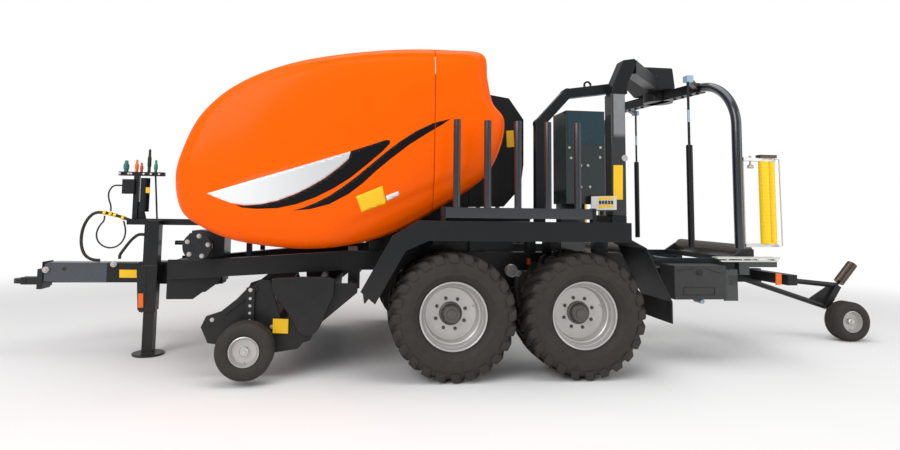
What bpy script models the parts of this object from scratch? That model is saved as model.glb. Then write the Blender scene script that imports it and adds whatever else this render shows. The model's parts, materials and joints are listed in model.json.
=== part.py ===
"""Towed round baler with a satellite bale wrapper on a tandem axle.

The machine faces -X and stands on Z = 0. Its left side is -Y.
"""
import math

import bmesh
import bpy
from mathutils import Matrix, Vector

# Clearances
SEAT_GAP = 0.0003
RUN_GAP = 0.006
OVERRUN = 0.02

# Wheels and tandem axle
TYRE_RADIUS = 0.535
TYRE_WIDTH = 0.56
TYRE_BEAD_RADIUS = 0.288
LUG_HEIGHT = 0.024
LUG_PITCHES = 12
WHEEL_Y = 1.19
WHEEL_XS = {"front": -0.47, "rear": 0.67}
DISC_THICKNESS = 0.016
HUB_RADIUS = 0.10
HUB_LENGTH = 0.20
SPINDLE_RADIUS = 0.045
BOGIE_INNER_Y = 0.80
BOGIE_THICKNESS = 0.08
BOGIE_HEIGHT = 0.15
AXLE_SIZE = 0.13
AXLE_Z = 0.64

# Hitch and jack
HITCH_TIP_X = -4.61
HITCH_Z = 0.67
EYE_RADIUS = 0.075
EYE_BORE = 0.026
EYE_THICKNESS = 0.045
DRAWBAR_FRONT_X = -4.32
DRAWBAR_REAR_X = -3.42
DRAWBAR_WIDTH = 0.18
DRAWBAR_BOTTOM_Z = 0.66
DRAWBAR_HEIGHT = 0.19
SLEEVE_WALL = 0.012
JACK_X = -3.24
JACK_Y = -0.26
JACK_OUTER = 0.12
JACK_WALL = 0.010
JACK_TOP_Z = 1.28
JACK_SLEEVE_BOTTOM_Z = 0.42
JACK_FOOT_RADIUS = 0.145
JACK_FOOT_THICKNESS = 0.02

# Chassis
NOSE_PLATE_X = -3.10
NOSE_PLATE_LENGTH = 0.50
NOSE_PLATE_BOTTOM_Z = 0.52
NOSE_PLATE_TOP_Z = 0.90
NOSE_PLATE_Y = 0.24
NOSE_PLATE_THICKNESS = 0.02
BEAM_HEIGHT = 0.17
BEAM_WIDTH = 0.10
BEAM_FRONT_Z = 0.796
RAIL_Z = 0.94
RAIL_Y = 0.70
RAIL_FRONT_X = -1.36
RAIL_REAR_X = 1.30
TAIL_RAIL_Y = 0.48
TAIL_RAIL_Z = 0.78
TAIL_RAIL_HEIGHT = 0.14
TAIL_RAIL_WIDTH = 0.08
TAIL_RAIL_REAR_X = 2.98

# Bale chamber
CHAMBER_X = -0.72
CHAMBER_Z = 1.88
CHAMBER_INNER_Y = 0.62
CHAMBER_PLATE = 0.02
ROLLER_CIRCLE = 0.74
ROLLER_RADIUS = 0.10
ROLLER_STEP_DEG = 22.5
SHELL_RADIUS = 0.88
SHELL_THICKNESS = 0.014
CHAMBER_SPLIT_X = -0.20
CHAMBER_BOTTOM_Z = 1.03
GATE_HINGE_X = -0.45
GATE_HINGE_Z = 2.68
GATE_PLATE_BOTTOM_Z = 1.45

# Covers
HOOD_NOSE_X = -2.86
HOOD_LENGTH = 2.92
HOOD_BOTTOM_Z = 1.06
HOOD_HEIGHT = 1.84
HOOD_INNER_Y = 0.7905
HOOD_OUTER_Y = 1.18
HOOD_WALL = 0.012
HOOD_SPLIT_X = -0.62
HOOD_SPLIT_GAP = 0.006
ROOF_WALL = 0.014

# Fenders and film racks
FENDER_INNER_Y = 0.93
FENDER_OUTER_Y = 1.478
FENDER_SHEET = 0.010
FENDER_SKIRT = 0.02
FENDER_TOP_Z = 1.19
SKIRT_TOP_Z = 1.33
RACK_FRONT_X = -0.56
RACK_REAR_X = 0.72
RACK_Y = 1.425
RACK_Z = 1.40
RACK_RAIL_HEIGHT = 0.09
RACK_RAIL_WIDTH = 0.07
RACK_POST_RADIUS = 0.032
RACK_POST_TOP_Z = 2.19
RACK_POST_COUNT = 5
RACK_POST_FIRST_X = -0.46
RACK_POST_PITCH = 0.265

# Pickup
PICKUP_PLATE_Y = 1.15
PICKUP_PLATE = 0.02
PICKUP_PIVOT_X = -1.30
PICKUP_PIVOT_Z = 0.74
PIVOT_EAR_HALF = 0.055
PIVOT_EAR_Y = 0.746
REEL_X = -2.02
REEL_Z = 0.43
REEL_DRUM_RADIUS = 0.13
REEL_TINE_RADIUS = 0.235
REEL_TINE_THICKNESS = 0.008
REEL_ROWS = 5
REEL_TINES = 9
GAUGE_X = -2.16
GAUGE_RADIUS = 0.23
GAUGE_WIDTH = 0.19
GAUGE_Y = 1.355
GAUGE_Z = 0.275

# Hose post
POST_X = -3.40
POST_Y = -0.02
POST_TOP_Z = 1.74
TRAY_Z = 1.26

# Wrapper
SATELLITE_X = 2.12
SATELLITE_BEAM_Z = 2.72
SATELLITE_BEAM_HEIGHT = 0.10
SATELLITE_BEAM_WIDTH = 0.12
ARM_RADIUS = 1.12
ARM_TUBE_RADIUS = 0.045
ARM_BEND = 0.45
ARM_BOTTOM_Z = 1.10
ARM_ANGLE_DEG = -80.0
FILM_RADIUS = 1.20
FILM_ANGLE_DEG = -66.0
FILM_ROLLER_RADIUS = 0.045
FILM_ROLLER_BOTTOM_Z = 1.145
FILM_ROLLER_LENGTH = 0.78
ROD_RADIUS_FROM_AXIS = 1.03
ROD_ANGLE_DEG = -103.0
COLUMN_X = 1.10
COLUMN_Y = -1.09
COLUMN_SIZE = 0.14
COLUMN_TOP_Z = 2.57
HEAD_TOP_Z = 2.88
HEAD_LEAN = 0.14
TABLE_ROLLER_X = 0.60
TABLE_ROLLER_RADIUS = 0.075
TABLE_ROLLER_LENGTH = 1.24
TABLE_ROLLER_Z = 1.03
TABLE_PIVOT_X = 2.55
TABLE_PIVOT_Z = 0.875

# Bale turner
TURNER_PIVOT_X = 3.10
TURNER_PIVOT_Z = 0.72
TURNER_WHEEL_X = 4.33
TURNER_WHEEL_RADIUS = 0.22
TURNER_WHEEL_WIDTH = 0.21
TURNER_Y = 0.10
TURNER_TUBE = 0.03

SIDES = (("left", -1), ("right", 1))


def make_collection(name):
    """Return a new collection linked to the scene."""
    collection = bpy.data.collections.new(name)
    bpy.context.scene.collection.children.link(collection)
    return collection


def clear_scene():
    """Remove every object of the scene."""
    for item in list(bpy.data.objects):
        bpy.data.objects.remove(item, do_unlink=True)


clear_scene()
MACHINE = make_collection("bale_wrapper")
PIECES = make_collection("pieces")


def make_material(name, colour, roughness, metallic):
    """Return a plain Principled material."""
    material = bpy.data.materials.new(name)
    material.use_nodes = True
    shader = material.node_tree.nodes["Principled BSDF"]
    shader.inputs["Base Color"].default_value = (*colour, 1.0)
    shader.inputs["Roughness"].default_value = roughness
    shader.inputs["Metallic"].default_value = metallic
    return material


ORANGE = make_material("orange_paint", (0.90, 0.16, 0.01), 0.30, 0.0)
BLACK = make_material("black_paint", (0.025, 0.025, 0.027), 0.45, 0.0)
GREY = make_material("grey_paint", (0.09, 0.09, 0.095), 0.45, 0.0)
STEEL = make_material("zinc_steel", (0.62, 0.62, 0.60), 0.35, 0.9)
SILVER = make_material("silver_paint", (0.60, 0.61, 0.60), 0.40, 0.5)
RUBBER = make_material("tyre_rubber", (0.02, 0.02, 0.02), 0.85, 0.0)
HOSE = make_material("hose_rubber", (0.015, 0.015, 0.015), 0.60, 0.0)
YELLOW = make_material("yellow_plastic", (0.95, 0.70, 0.02), 0.35, 0.0)
PLASTIC = make_material("black_plastic", (0.03, 0.03, 0.032), 0.55, 0.0)


def piece_from(bm, name="piece"):
    """Turn a bmesh into an object of the pieces collection."""
    bmesh.ops.recalc_face_normals(bm, faces=bm.faces[:])
    mesh = bpy.data.meshes.new(name)
    bm.to_mesh(mesh)
    bm.free()
    item = bpy.data.objects.new(name, mesh)
    PIECES.objects.link(item)
    return item


def mesh_piece(item):
    """Replace an object by a plain mesh object in world space, with its caps welded."""
    bpy.context.view_layer.update()
    graph = bpy.context.evaluated_depsgraph_get()
    mesh = bpy.data.meshes.new_from_object(item.evaluated_get(graph))
    mesh.transform(item.matrix_world)
    bm = bmesh.new()
    bm.from_mesh(mesh)
    bmesh.ops.remove_doubles(bm, verts=bm.verts[:], dist=SEAT_GAP / 10)
    bpy.data.meshes.remove(mesh)
    bpy.data.objects.remove(item, do_unlink=True)
    return piece_from(bm)


def block(x_range, y_range, z_range):
    """Box between two values on each axis."""
    low = Vector((min(x_range), min(y_range), min(z_range)))
    high = Vector((max(x_range), max(y_range), max(z_range)))
    bm = bmesh.new()
    bmesh.ops.create_cube(bm, size=1.0)
    bmesh.ops.scale(bm, vec=high - low, verts=bm.verts[:])
    bmesh.ops.translate(bm, vec=(high + low) / 2, verts=bm.verts[:])
    return piece_from(bm)


def aim(start, end):
    """Matrix that lays the local Z axis from start to end, centred between them."""
    start = Vector(start)
    end = Vector(end)
    way = (end - start).normalized()
    guide = Vector((0, 0, 1)) if abs(way.z) < 0.99 else Vector((1, 0, 0))
    across = guide.cross(way).normalized()
    up = way.cross(across)
    turn = Matrix((across, up, way)).transposed().to_4x4()
    return Matrix.Translation((start + end) / 2) @ turn


def beam(start, end, width, height):
    """Box beam between two points, width across and height upwards."""
    bm = bmesh.new()
    bmesh.ops.create_cube(bm, size=1.0)
    length = (Vector(end) - Vector(start)).length
    bmesh.ops.scale(bm, vec=(width, height, length), verts=bm.verts[:])
    bmesh.ops.transform(bm, matrix=aim(start, end), verts=bm.verts[:])
    return piece_from(bm)


def rod(start, end, radius, sides=12, end_radius=None):
    """Round bar or cone between two points."""
    bm = bmesh.new()
    length = (Vector(end) - Vector(start)).length
    bmesh.ops.create_cone(bm, cap_ends=True, segments=sides, radius1=radius,
                          radius2=radius if end_radius is None else end_radius, depth=length)
    bmesh.ops.transform(bm, matrix=aim(start, end), verts=bm.verts[:])
    return piece_from(bm)


def pipe(points, radius, resolution=2):
    """Bent round tube through points."""
    curve = bpy.data.curves.new("pipe", "CURVE")
    curve.dimensions = "3D"
    curve.bevel_depth = radius
    curve.bevel_resolution = resolution
    curve.use_fill_caps = True
    spline = curve.splines.new("POLY")
    spline.points.add(len(points) - 1)
    for point, place in zip(spline.points, points):
        point.co = (*place, 1.0)
    item = bpy.data.objects.new("pipe", curve)
    PIECES.objects.link(item)
    return mesh_piece(item)


def sheet(outlines, low, high, upright=True):
    """Flat plate from XZ outlines over a Y range, or from XY outlines over a Z range."""
    curve = bpy.data.curves.new("sheet", "CURVE")
    curve.dimensions = "2D"
    curve.fill_mode = "BOTH"
    curve.extrude = abs(high - low) / 2
    for outline in outlines:
        spline = curve.splines.new("POLY")
        spline.points.add(len(outline) - 1)
        for point, place in zip(spline.points, outline):
            point.co = (*place, 0.0, 1.0)
        spline.use_cyclic_u = True
    item = bpy.data.objects.new("sheet", curve)
    if upright:
        item.rotation_euler = (math.pi / 2, 0, 0)
        item.location = (0, (low + high) / 2, 0)
    else:
        item.location = (0, 0, (low + high) / 2)
    PIECES.objects.link(item)
    return mesh_piece(item)


def turned(profile, centre, axis, steps=32):
    """Solid of revolution of (radius, along) points about an axis through a centre."""
    bm = bmesh.new()
    verts = [bm.verts.new((radius, 0, along)) for radius, along in profile]
    for first, second in zip(verts, verts[1:]):
        bm.edges.new((first, second))
    if profile[0][0] > 0:
        bm.edges.new((verts[-1], verts[0]))
    mesh = bpy.data.meshes.new("turned")
    bm.to_mesh(mesh)
    bm.free()
    item = bpy.data.objects.new("turned", mesh)
    PIECES.objects.link(item)
    screw = item.modifiers.new("turn", "SCREW")
    screw.steps = steps
    screw.render_steps = steps
    screw.use_merge_vertices = True
    screw.merge_threshold = SEAT_GAP / 10
    item.matrix_world = aim(Vector(centre) - Vector(axis), Vector(centre) + Vector(axis))
    return mesh_piece(item)


def fuse(name, pieces, material, origin=(0, 0, 0), cuts=()):
    """Join pieces into one named solid, less the cuts, with its origin at a given place."""
    body = pieces[0]
    for operation, others in (("UNION", pieces[1:]), ("DIFFERENCE", cuts)):
        if not others:
            continue
        group = make_collection(name + "_" + operation.lower())
        for other in others:
            PIECES.objects.unlink(other)
            group.objects.link(other)
        boolean = body.modifiers.new(operation.lower(), "BOOLEAN")
        boolean.operation = operation
        boolean.operand_type = "COLLECTION"
        boolean.collection = group
        boolean.solver = "EXACT"
    bpy.context.view_layer.update()
    graph = bpy.context.evaluated_depsgraph_get()
    mesh = bpy.data.meshes.new_from_object(body.evaluated_get(graph))
    bm = bmesh.new()
    bm.from_mesh(mesh)
    bmesh.ops.remove_doubles(bm, verts=bm.verts[:], dist=SEAT_GAP / 3)
    bmesh.ops.dissolve_degenerate(bm, edges=bm.edges[:], dist=SEAT_GAP / 3)
    bm.to_mesh(mesh)
    bm.free()
    mesh.transform(Matrix.Translation(-Vector(origin)))
    mesh.name = name
    mesh.materials.clear()
    mesh.materials.append(material)
    mesh.shade_smooth()
    mesh.set_sharp_from_angle(angle=math.radians(35))
    for other in list(pieces) + list(cuts):
        bpy.data.objects.remove(other, do_unlink=True)
    item = bpy.data.objects.new(name, mesh)
    item.location = origin
    MACHINE.objects.link(item)
    return item


def polar(centre, radius, degrees):
    """Point of a circle in a plane."""
    angle = math.radians(degrees)
    return (centre[0] + radius * math.cos(angle), centre[1] + radius * math.sin(angle))


def smooth_closed(points, steps):
    """Closed smooth curve through points, as a list of points."""
    count = len(points)
    result = []
    for index in range(count):
        before, start, end, after = (Vector(points[(index + shift) % count]) for shift in (-1, 0, 1, 2))
        for step in range(steps):
            share = step / steps
            result.append(0.5 * (2 * start + (end - before) * share
                                 + (2 * before - 5 * start + 4 * end - after) * share ** 2
                                 + (3 * start - before - 3 * end + after) * share ** 3))
    return result


def build_hitch():
    """Hitch eye on its shank, and the drawbar tube with its front plate."""
    eye_x = HITCH_TIP_X + EYE_RADIUS
    shank_rear_x = DRAWBAR_FRONT_X - SEAT_GAP
    eye = rod((eye_x, 0, HITCH_Z - EYE_THICKNESS / 2), (eye_x, 0, HITCH_Z + EYE_THICKNESS / 2), EYE_RADIUS, 24)
    shank = block((eye_x, shank_rear_x), (-EYE_THICKNESS, EYE_THICKNESS),
                  (HITCH_Z - 0.8 * EYE_THICKNESS, HITCH_Z + 0.8 * EYE_THICKNESS))
    pad = block((shank_rear_x - EYE_THICKNESS, shank_rear_x), (-0.5 * DRAWBAR_WIDTH, 0.5 * DRAWBAR_WIDTH),
                (HITCH_Z - EYE_RADIUS, HITCH_Z + EYE_RADIUS + EYE_THICKNESS))
    bore = rod((eye_x, 0, HITCH_Z - EYE_THICKNESS), (eye_x, 0, HITCH_Z + EYE_THICKNESS), EYE_BORE, 16)
    fuse("hitch_eye", [eye, shank, pad], GREY, cuts=[bore])
    tube = block((DRAWBAR_FRONT_X, DRAWBAR_REAR_X), (-DRAWBAR_WIDTH / 2, DRAWBAR_WIDTH / 2),
                 (DRAWBAR_BOTTOM_Z, DRAWBAR_BOTTOM_Z + DRAWBAR_HEIGHT))
    collar = block((DRAWBAR_FRONT_X, DRAWBAR_FRONT_X + SLEEVE_WALL),
                   (-DRAWBAR_WIDTH / 2 - SLEEVE_WALL, DRAWBAR_WIDTH / 2 + SLEEVE_WALL),
                   (DRAWBAR_BOTTOM_Z - 4 * SLEEVE_WALL, DRAWBAR_BOTTOM_Z + DRAWBAR_HEIGHT + SLEEVE_WALL))
    fuse("drawbar", [tube, collar], GREY)


def build_jack():
    """Square parking jack: outer tube on the nose of the frame, inner leg on its foot."""
    half = JACK_OUTER / 2
    inner = half - JACK_WALL
    sleeve = block((JACK_X - half, JACK_X + half), (JACK_Y - half, JACK_Y + half),
                   (JACK_SLEEVE_BOTTOM_Z, JACK_TOP_Z))
    bracket = block((JACK_X - half, JACK_X + half), (JACK_Y, -DRAWBAR_WIDTH / 2 - SLEEVE_WALL - SEAT_GAP),
                    (DRAWBAR_BOTTOM_Z, DRAWBAR_BOTTOM_Z + DRAWBAR_HEIGHT))
    plate = block((JACK_X - 1.4 * half, JACK_X + 1.1 * half), (JACK_Y - half - JACK_WALL, JACK_Y - half),
                  (JACK_SLEEVE_BOTTOM_Z - JACK_WALL, DRAWBAR_BOTTOM_Z + DRAWBAR_HEIGHT))
    bore = block((JACK_X - inner, JACK_X + inner), (JACK_Y - inner, JACK_Y + inner),
                 (JACK_SLEEVE_BOTTOM_Z - OVERRUN, JACK_TOP_Z - JACK_WALL))
    fuse("jack_sleeve", [sleeve, bracket, plate], BLACK, cuts=[bore])
    leg_half = inner - 2 * SEAT_GAP
    leg = block((JACK_X - leg_half, JACK_X + leg_half), (JACK_Y - leg_half, JACK_Y + leg_half),
                (JACK_FOOT_THICKNESS / 2, JACK_SLEEVE_BOTTOM_Z + JACK_FOOT_RADIUS))
    foot = rod((JACK_X, JACK_Y, 0), (JACK_X, JACK_Y, JACK_FOOT_THICKNESS), JACK_FOOT_RADIUS, 24)
    fuse("jack_leg", [leg, foot], STEEL, origin=(JACK_X, JACK_Y, 0))


def build_front_frame():
    """Drawbar sleeve, nose plates, flared beams, rails and cross members of the baler."""
    half = DRAWBAR_WIDTH / 2
    sleeve_front_x = DRAWBAR_REAR_X + SEAT_GAP
    nose_rear_x = NOSE_PLATE_X + NOSE_PLATE_LENGTH
    inset = NOSE_PLATE_THICKNESS / 2
    pieces = [block((sleeve_front_x, nose_rear_x - inset), (-half - SLEEVE_WALL, half + SLEEVE_WALL),
                    (DRAWBAR_BOTTOM_Z - SLEEVE_WALL, DRAWBAR_BOTTOM_Z + DRAWBAR_HEIGHT + SLEEVE_WALL))]
    for x in (NOSE_PLATE_X + inset, nose_rear_x - BEAM_WIDTH - 2 * inset):
        pieces.append(block((x, x + BEAM_WIDTH), (-NOSE_PLATE_Y - inset, NOSE_PLATE_Y + inset),
                            (DRAWBAR_BOTTOM_Z, NOSE_PLATE_TOP_Z - NOSE_PLATE_THICKNESS)))
    beam_front_x = NOSE_PLATE_X + NOSE_PLATE_THICKNESS
    for _, side in SIDES:
        outline = [(NOSE_PLATE_X, NOSE_PLATE_TOP_Z), (NOSE_PLATE_X, NOSE_PLATE_BOTTOM_Z),
                   (nose_rear_x - NOSE_PLATE_LENGTH / 2, NOSE_PLATE_BOTTOM_Z),
                   (nose_rear_x, BEAM_FRONT_Z - BEAM_HEIGHT / 2), (nose_rear_x, NOSE_PLATE_TOP_Z)]
        pieces.append(sheet([outline], side * NOSE_PLATE_Y, side * (NOSE_PLATE_Y + NOSE_PLATE_THICKNESS)))
        pieces.append(beam((beam_front_x, side * NOSE_PLATE_Y, BEAM_FRONT_Z), (RAIL_FRONT_X, side * RAIL_Y, RAIL_Z),
                           BEAM_WIDTH, BEAM_HEIGHT))
        pieces.append(block((RAIL_FRONT_X - BEAM_WIDTH / 2, RAIL_REAR_X),
                            (side * (RAIL_Y - BEAM_WIDTH / 2), side * (RAIL_Y + BEAM_WIDTH / 2)),
                            (RAIL_Z - BEAM_HEIGHT / 2, RAIL_Z + BEAM_HEIGHT / 2)))
        pieces.append(block((PICKUP_PIVOT_X - PIVOT_EAR_HALF, PICKUP_PIVOT_X + PIVOT_EAR_HALF),
                            (side * (RAIL_Y - BEAM_WIDTH / 4), side * PIVOT_EAR_Y),
                            (PICKUP_PIVOT_Z - PIVOT_EAR_HALF, RAIL_Z)))
    for x in (RAIL_FRONT_X, RAIL_REAR_X - BEAM_WIDTH):
        pieces.append(block((x, x + BEAM_WIDTH), (-RAIL_Y, RAIL_Y),
                            (RAIL_Z - BEAM_HEIGHT / 2 + SLEEVE_WALL, RAIL_Z + BEAM_HEIGHT / 3)))
    fuse("front_frame", pieces, BLACK)


def build_tandem_axle():
    """Cross axle under the rails, with a bogie beam and two spindles on each side."""
    middle_x = sum(WHEEL_XS.values()) / 2
    rail_bottom_z = RAIL_Z - BEAM_HEIGHT / 2
    pieces = [block((middle_x - AXLE_SIZE / 2, middle_x + AXLE_SIZE / 2), (-BOGIE_INNER_Y - OVERRUN, BOGIE_INNER_Y + OVERRUN),
                    (AXLE_Z - AXLE_SIZE / 2, AXLE_Z + AXLE_SIZE / 2))]
    spindle_end_y = WHEEL_Y - DISC_THICKNESS
    for _, side in SIDES:
        pieces.append(block((middle_x - AXLE_SIZE, middle_x + AXLE_SIZE),
                            (side * (RAIL_Y - BEAM_WIDTH / 2), side * (RAIL_Y + BEAM_WIDTH / 2)),
                            (AXLE_Z, rail_bottom_z - SEAT_GAP)))
        low_z = TYRE_RADIUS - BOGIE_HEIGHT / 2
        outline = [(WHEEL_XS["front"] - BOGIE_HEIGHT / 2, low_z), (WHEEL_XS["rear"] + BOGIE_HEIGHT / 2, low_z),
                   (WHEEL_XS["rear"] + BOGIE_HEIGHT / 2, low_z + BOGIE_HEIGHT),
                   (middle_x + AXLE_SIZE, AXLE_Z + AXLE_SIZE / 2), (middle_x - AXLE_SIZE, AXLE_Z + AXLE_SIZE / 2),
                   (WHEEL_XS["front"] - BOGIE_HEIGHT / 2, low_z + BOGIE_HEIGHT)]
        pieces.append(sheet([outline], side * BOGIE_INNER_Y, side * (BOGIE_INNER_Y + BOGIE_THICKNESS)))
        for x in WHEEL_XS.values():
            pieces.append(rod((x, side * (BOGIE_INNER_Y + BOGIE_THICKNESS / 2), TYRE_RADIUS), (x, side * spindle_end_y, TYRE_RADIUS),
                              SPINDLE_RADIUS, 16))
    fuse("tandem_axle", pieces, BLACK)


def lugged_tyre(name, centre, side):
    """Tyre ring whose shoulders carry staggered lugs."""
    half = TYRE_WIDTH / 2
    depth = TYRE_RADIUS - TYRE_BEAD_RADIUS
    base = TYRE_RADIUS - LUG_HEIGHT
    profile = [(TYRE_BEAD_RADIUS, -0.74 * half, 0), (TYRE_BEAD_RADIUS + 0.45 * depth, -half, 0),
               (TYRE_BEAD_RADIUS + 0.84 * depth, -0.93 * half, 0),
               (base, -0.84 * half, -1), (base + 0.2 * LUG_HEIGHT, -0.10 * half, -1),
               (base + 0.2 * LUG_HEIGHT, 0.10 * half, 1), (base, 0.84 * half, 1),
               (TYRE_BEAD_RADIUS + 0.84 * depth, 0.93 * half, 0), (TYRE_BEAD_RADIUS + 0.45 * depth, half, 0),
               (TYRE_BEAD_RADIUS, 0.74 * half, 0)]
    sections = 4 * LUG_PITCHES
    bm = bmesh.new()
    rings = []
    for index in range(sections):
        angle = 2 * math.pi * index / sections
        raised = -1 if index % 4 in (0, 1) else 1
        ring = []
        for radius, along, row in profile:
            reach = radius + (0.8 * LUG_HEIGHT if row == raised else 0)
            ring.append(bm.verts.new((reach * math.cos(angle), along, reach * math.sin(angle))))
        rings.append(ring)
    for ring, following in zip(rings, rings[1:] + rings[:1]):
        for index in range(len(profile)):
            after = (index + 1) % len(profile)
            bm.faces.new((ring[index], ring[after], following[after], following[index]))
    tyre = piece_from(bm)
    tyre.data.transform(Matrix.Translation(centre))
    fuse(name, [tyre], RUBBER, origin=centre)


def build_wheels():
    """Four dished rims on their spindles, each with a lugged tyre."""
    for end, x in WHEEL_XS.items():
        for label, side in SIDES:
            centre = (x, side * WHEEL_Y, TYRE_RADIUS)
            bead = TYRE_BEAD_RADIUS - SEAT_GAP
            half = 0.74 * TYRE_WIDTH / 2
            wall = DISC_THICKNESS
            bore = SPINDLE_RADIUS + SEAT_GAP * 3
            hub_in = HUB_LENGTH / 2
            profile = [(0, 2.2 * wall), (HUB_RADIUS * 0.7, 2.2 * wall), (HUB_RADIUS * 0.8, wall / 2),
                       (bead - 4 * wall, wall / 2), (bead - wall, half),
                       (bead, half), (bead, -half), (bead - wall, -half),
                       (bead - 3 * wall, -wall / 2), (HUB_RADIUS, -wall / 2), (HUB_RADIUS, -hub_in),
                       (bore, -hub_in), (bore, wall / 2 - wall), (0, wall / 2 - wall)]
            rim = turned(profile, centre, (0, side, 0), 24)
            fuse("rim_%s_%s" % (end, label), [rim], SILVER, origin=centre)
            lugged_tyre("tyre_%s_%s" % (end, label), centre, side)


def build_chamber():
    """Front half of the bale chamber: side plates, press rollers and a curved front sheet."""
    centre = (CHAMBER_X, CHAMBER_Z)
    plate_reach = SHELL_RADIUS + OVERRUN
    outer_y = CHAMBER_INNER_Y + CHAMBER_PLATE
    arc = [polar(centre, plate_reach, degrees) for degrees in range(75, 271, 15)]
    bottom_rear_x = CHAMBER_SPLIT_X + SHELL_RADIUS / 2
    outline = [(CHAMBER_SPLIT_X - RUN_GAP, CHAMBER_Z + 0.75 * SHELL_RADIUS)] + arc[:-1]
    outline += [(CHAMBER_X, CHAMBER_BOTTOM_Z), (bottom_rear_x, CHAMBER_BOTTOM_Z),
                (bottom_rear_x, GATE_PLATE_BOTTOM_Z - 2 * RUN_GAP),
                (CHAMBER_SPLIT_X - RUN_GAP, GATE_PLATE_BOTTOM_Z - 2 * RUN_GAP)]
    pieces = []
    for _, side in SIDES:
        pieces.append(sheet([outline], side * CHAMBER_INNER_Y, side * outer_y))
    for number in range(4, 14):
        x, z = polar(centre, ROLLER_CIRCLE, number * ROLLER_STEP_DEG)
        pieces.append(rod((x, -CHAMBER_INNER_Y - SEAT_GAP * 30, z), (x, CHAMBER_INNER_Y + SEAT_GAP * 30, z), ROLLER_RADIUS, 10))
    sector = [polar(centre, SHELL_RADIUS, degrees) for degrees in range(90, 256, 15)]
    sector += [polar(centre, SHELL_RADIUS - SHELL_THICKNESS, degrees) for degrees in range(255, 89, -15)]
    pieces.append(sheet([sector], -CHAMBER_INNER_Y - SEAT_GAP * 30, CHAMBER_INNER_Y + SEAT_GAP * 30))
    for _, side in SIDES:
        for x in (CHAMBER_X - SHELL_RADIUS / 2, CHAMBER_SPLIT_X):
            rail_top_z = RAIL_Z + BEAM_HEIGHT / 2 + SEAT_GAP
            pieces.append(block((x, x + BEAM_WIDTH), (side * (CHAMBER_INNER_Y + CHAMBER_PLATE / 2), side * RAIL_Y),
                                (rail_top_z, rail_top_z + BEAM_WIDTH)))
    hinge_z = GATE_HINGE_Z
    for _, side in SIDES:
        ear = [(GATE_HINGE_X - 0.10 * SHELL_RADIUS, hinge_z + 0.06 * SHELL_RADIUS),
               (GATE_HINGE_X - 0.10 * SHELL_RADIUS, CHAMBER_Z + 0.8 * SHELL_RADIUS),
               (GATE_HINGE_X + 0.04 * SHELL_RADIUS, CHAMBER_Z + 0.8 * SHELL_RADIUS),
               (GATE_HINGE_X + 0.04 * SHELL_RADIUS, hinge_z + 0.06 * SHELL_RADIUS)]
        pieces.append(sheet([ear], side * CHAMBER_INNER_Y, side * outer_y))
    fuse("bale_chamber", pieces, BLACK)


def build_tailgate():
    """Rear half of the bale chamber, hung from a hinge at the top."""
    centre = (CHAMBER_X, CHAMBER_Z)
    outer_y = CHAMBER_INNER_Y + CHAMBER_PLATE
    split_x = CHAMBER_SPLIT_X
    rear_x = split_x + 0.55
    outline = [(split_x, GATE_PLATE_BOTTOM_Z), (rear_x - 0.20, GATE_PLATE_BOTTOM_Z + 0.01),
               (rear_x - 0.03, GATE_PLATE_BOTTOM_Z + 0.20), (rear_x, CHAMBER_Z), (rear_x, CHAMBER_Z + 0.45),
               (rear_x - 0.15, CHAMBER_Z + 0.66), (split_x, CHAMBER_Z + 0.72)]
    pieces = []
    for _, side in SIDES:
        pieces.append(sheet([outline], side * CHAMBER_INNER_Y, side * outer_y))
        inner = side * (CHAMBER_INNER_Y - RUN_GAP - CHAMBER_PLATE)
        arm = [(GATE_HINGE_X - 0.03, GATE_HINGE_Z + 0.03), (GATE_HINGE_X - 0.03, GATE_HINGE_Z - 0.03),
               (split_x + 0.05, CHAMBER_Z + 0.60), (split_x + 0.15, CHAMBER_Z + 0.60), (split_x + 0.15, GATE_HINGE_Z)]
        pieces.append(sheet([arm], inner, side * (CHAMBER_INNER_Y - RUN_GAP)))
    pin_y = CHAMBER_INNER_Y - 2 * SEAT_GAP
    pieces.append(rod((GATE_HINGE_X, -pin_y, GATE_HINGE_Z), (GATE_HINGE_X, pin_y, GATE_HINGE_Z), 0.028))
    for number in range(-1, 2):
        x, z = polar(centre, ROLLER_CIRCLE, number * ROLLER_STEP_DEG)
        pieces.append(rod((x, -CHAMBER_INNER_Y - SEAT_GAP * 30, z), (x, CHAMBER_INNER_Y + SEAT_GAP * 30, z), ROLLER_RADIUS, 10))
    shell = [(rear_x - 0.05, GATE_PLATE_BOTTOM_Z + 0.20), (rear_x - 0.03, GATE_PLATE_BOTTOM_Z + 0.20),
             (rear_x - 0.01, CHAMBER_Z), (rear_x - 0.01, CHAMBER_Z + 0.45), (rear_x - 0.15, CHAMBER_Z + 0.645),
             (split_x + 0.03, CHAMBER_Z + 0.70), (split_x + 0.03, CHAMBER_Z + 0.68), (rear_x - 0.16, CHAMBER_Z + 0.63),
             (rear_x - 0.03, CHAMBER_Z + 0.44), (rear_x - 0.03, CHAMBER_Z)]
    pieces.append(sheet([shell], -CHAMBER_INNER_Y - SEAT_GAP * 30, CHAMBER_INNER_Y + SEAT_GAP * 30))
    fuse("tailgate", pieces, BLACK, origin=(GATE_HINGE_X, 0, GATE_HINGE_Z))


HOOD_OUTLINE_SHARES = [(0.000, 0.34), (0.018, 0.185), (0.075, 0.105), (0.185, 0.035), (0.37, 0.0), (0.52, 0.02),
                       (0.66, 0.085), (0.80, 0.21), (0.93, 0.35), (0.985, 0.50), (1.0, 0.65), (0.962, 0.74),
                       (0.945, 0.86), (0.93, 0.985), (0.83, 1.0), (0.69, 0.995), (0.54, 0.97), (0.40, 0.93),
                       (0.30, 0.885), (0.205, 0.82), (0.125, 0.735), (0.06, 0.62), (0.02, 0.48)]
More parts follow.
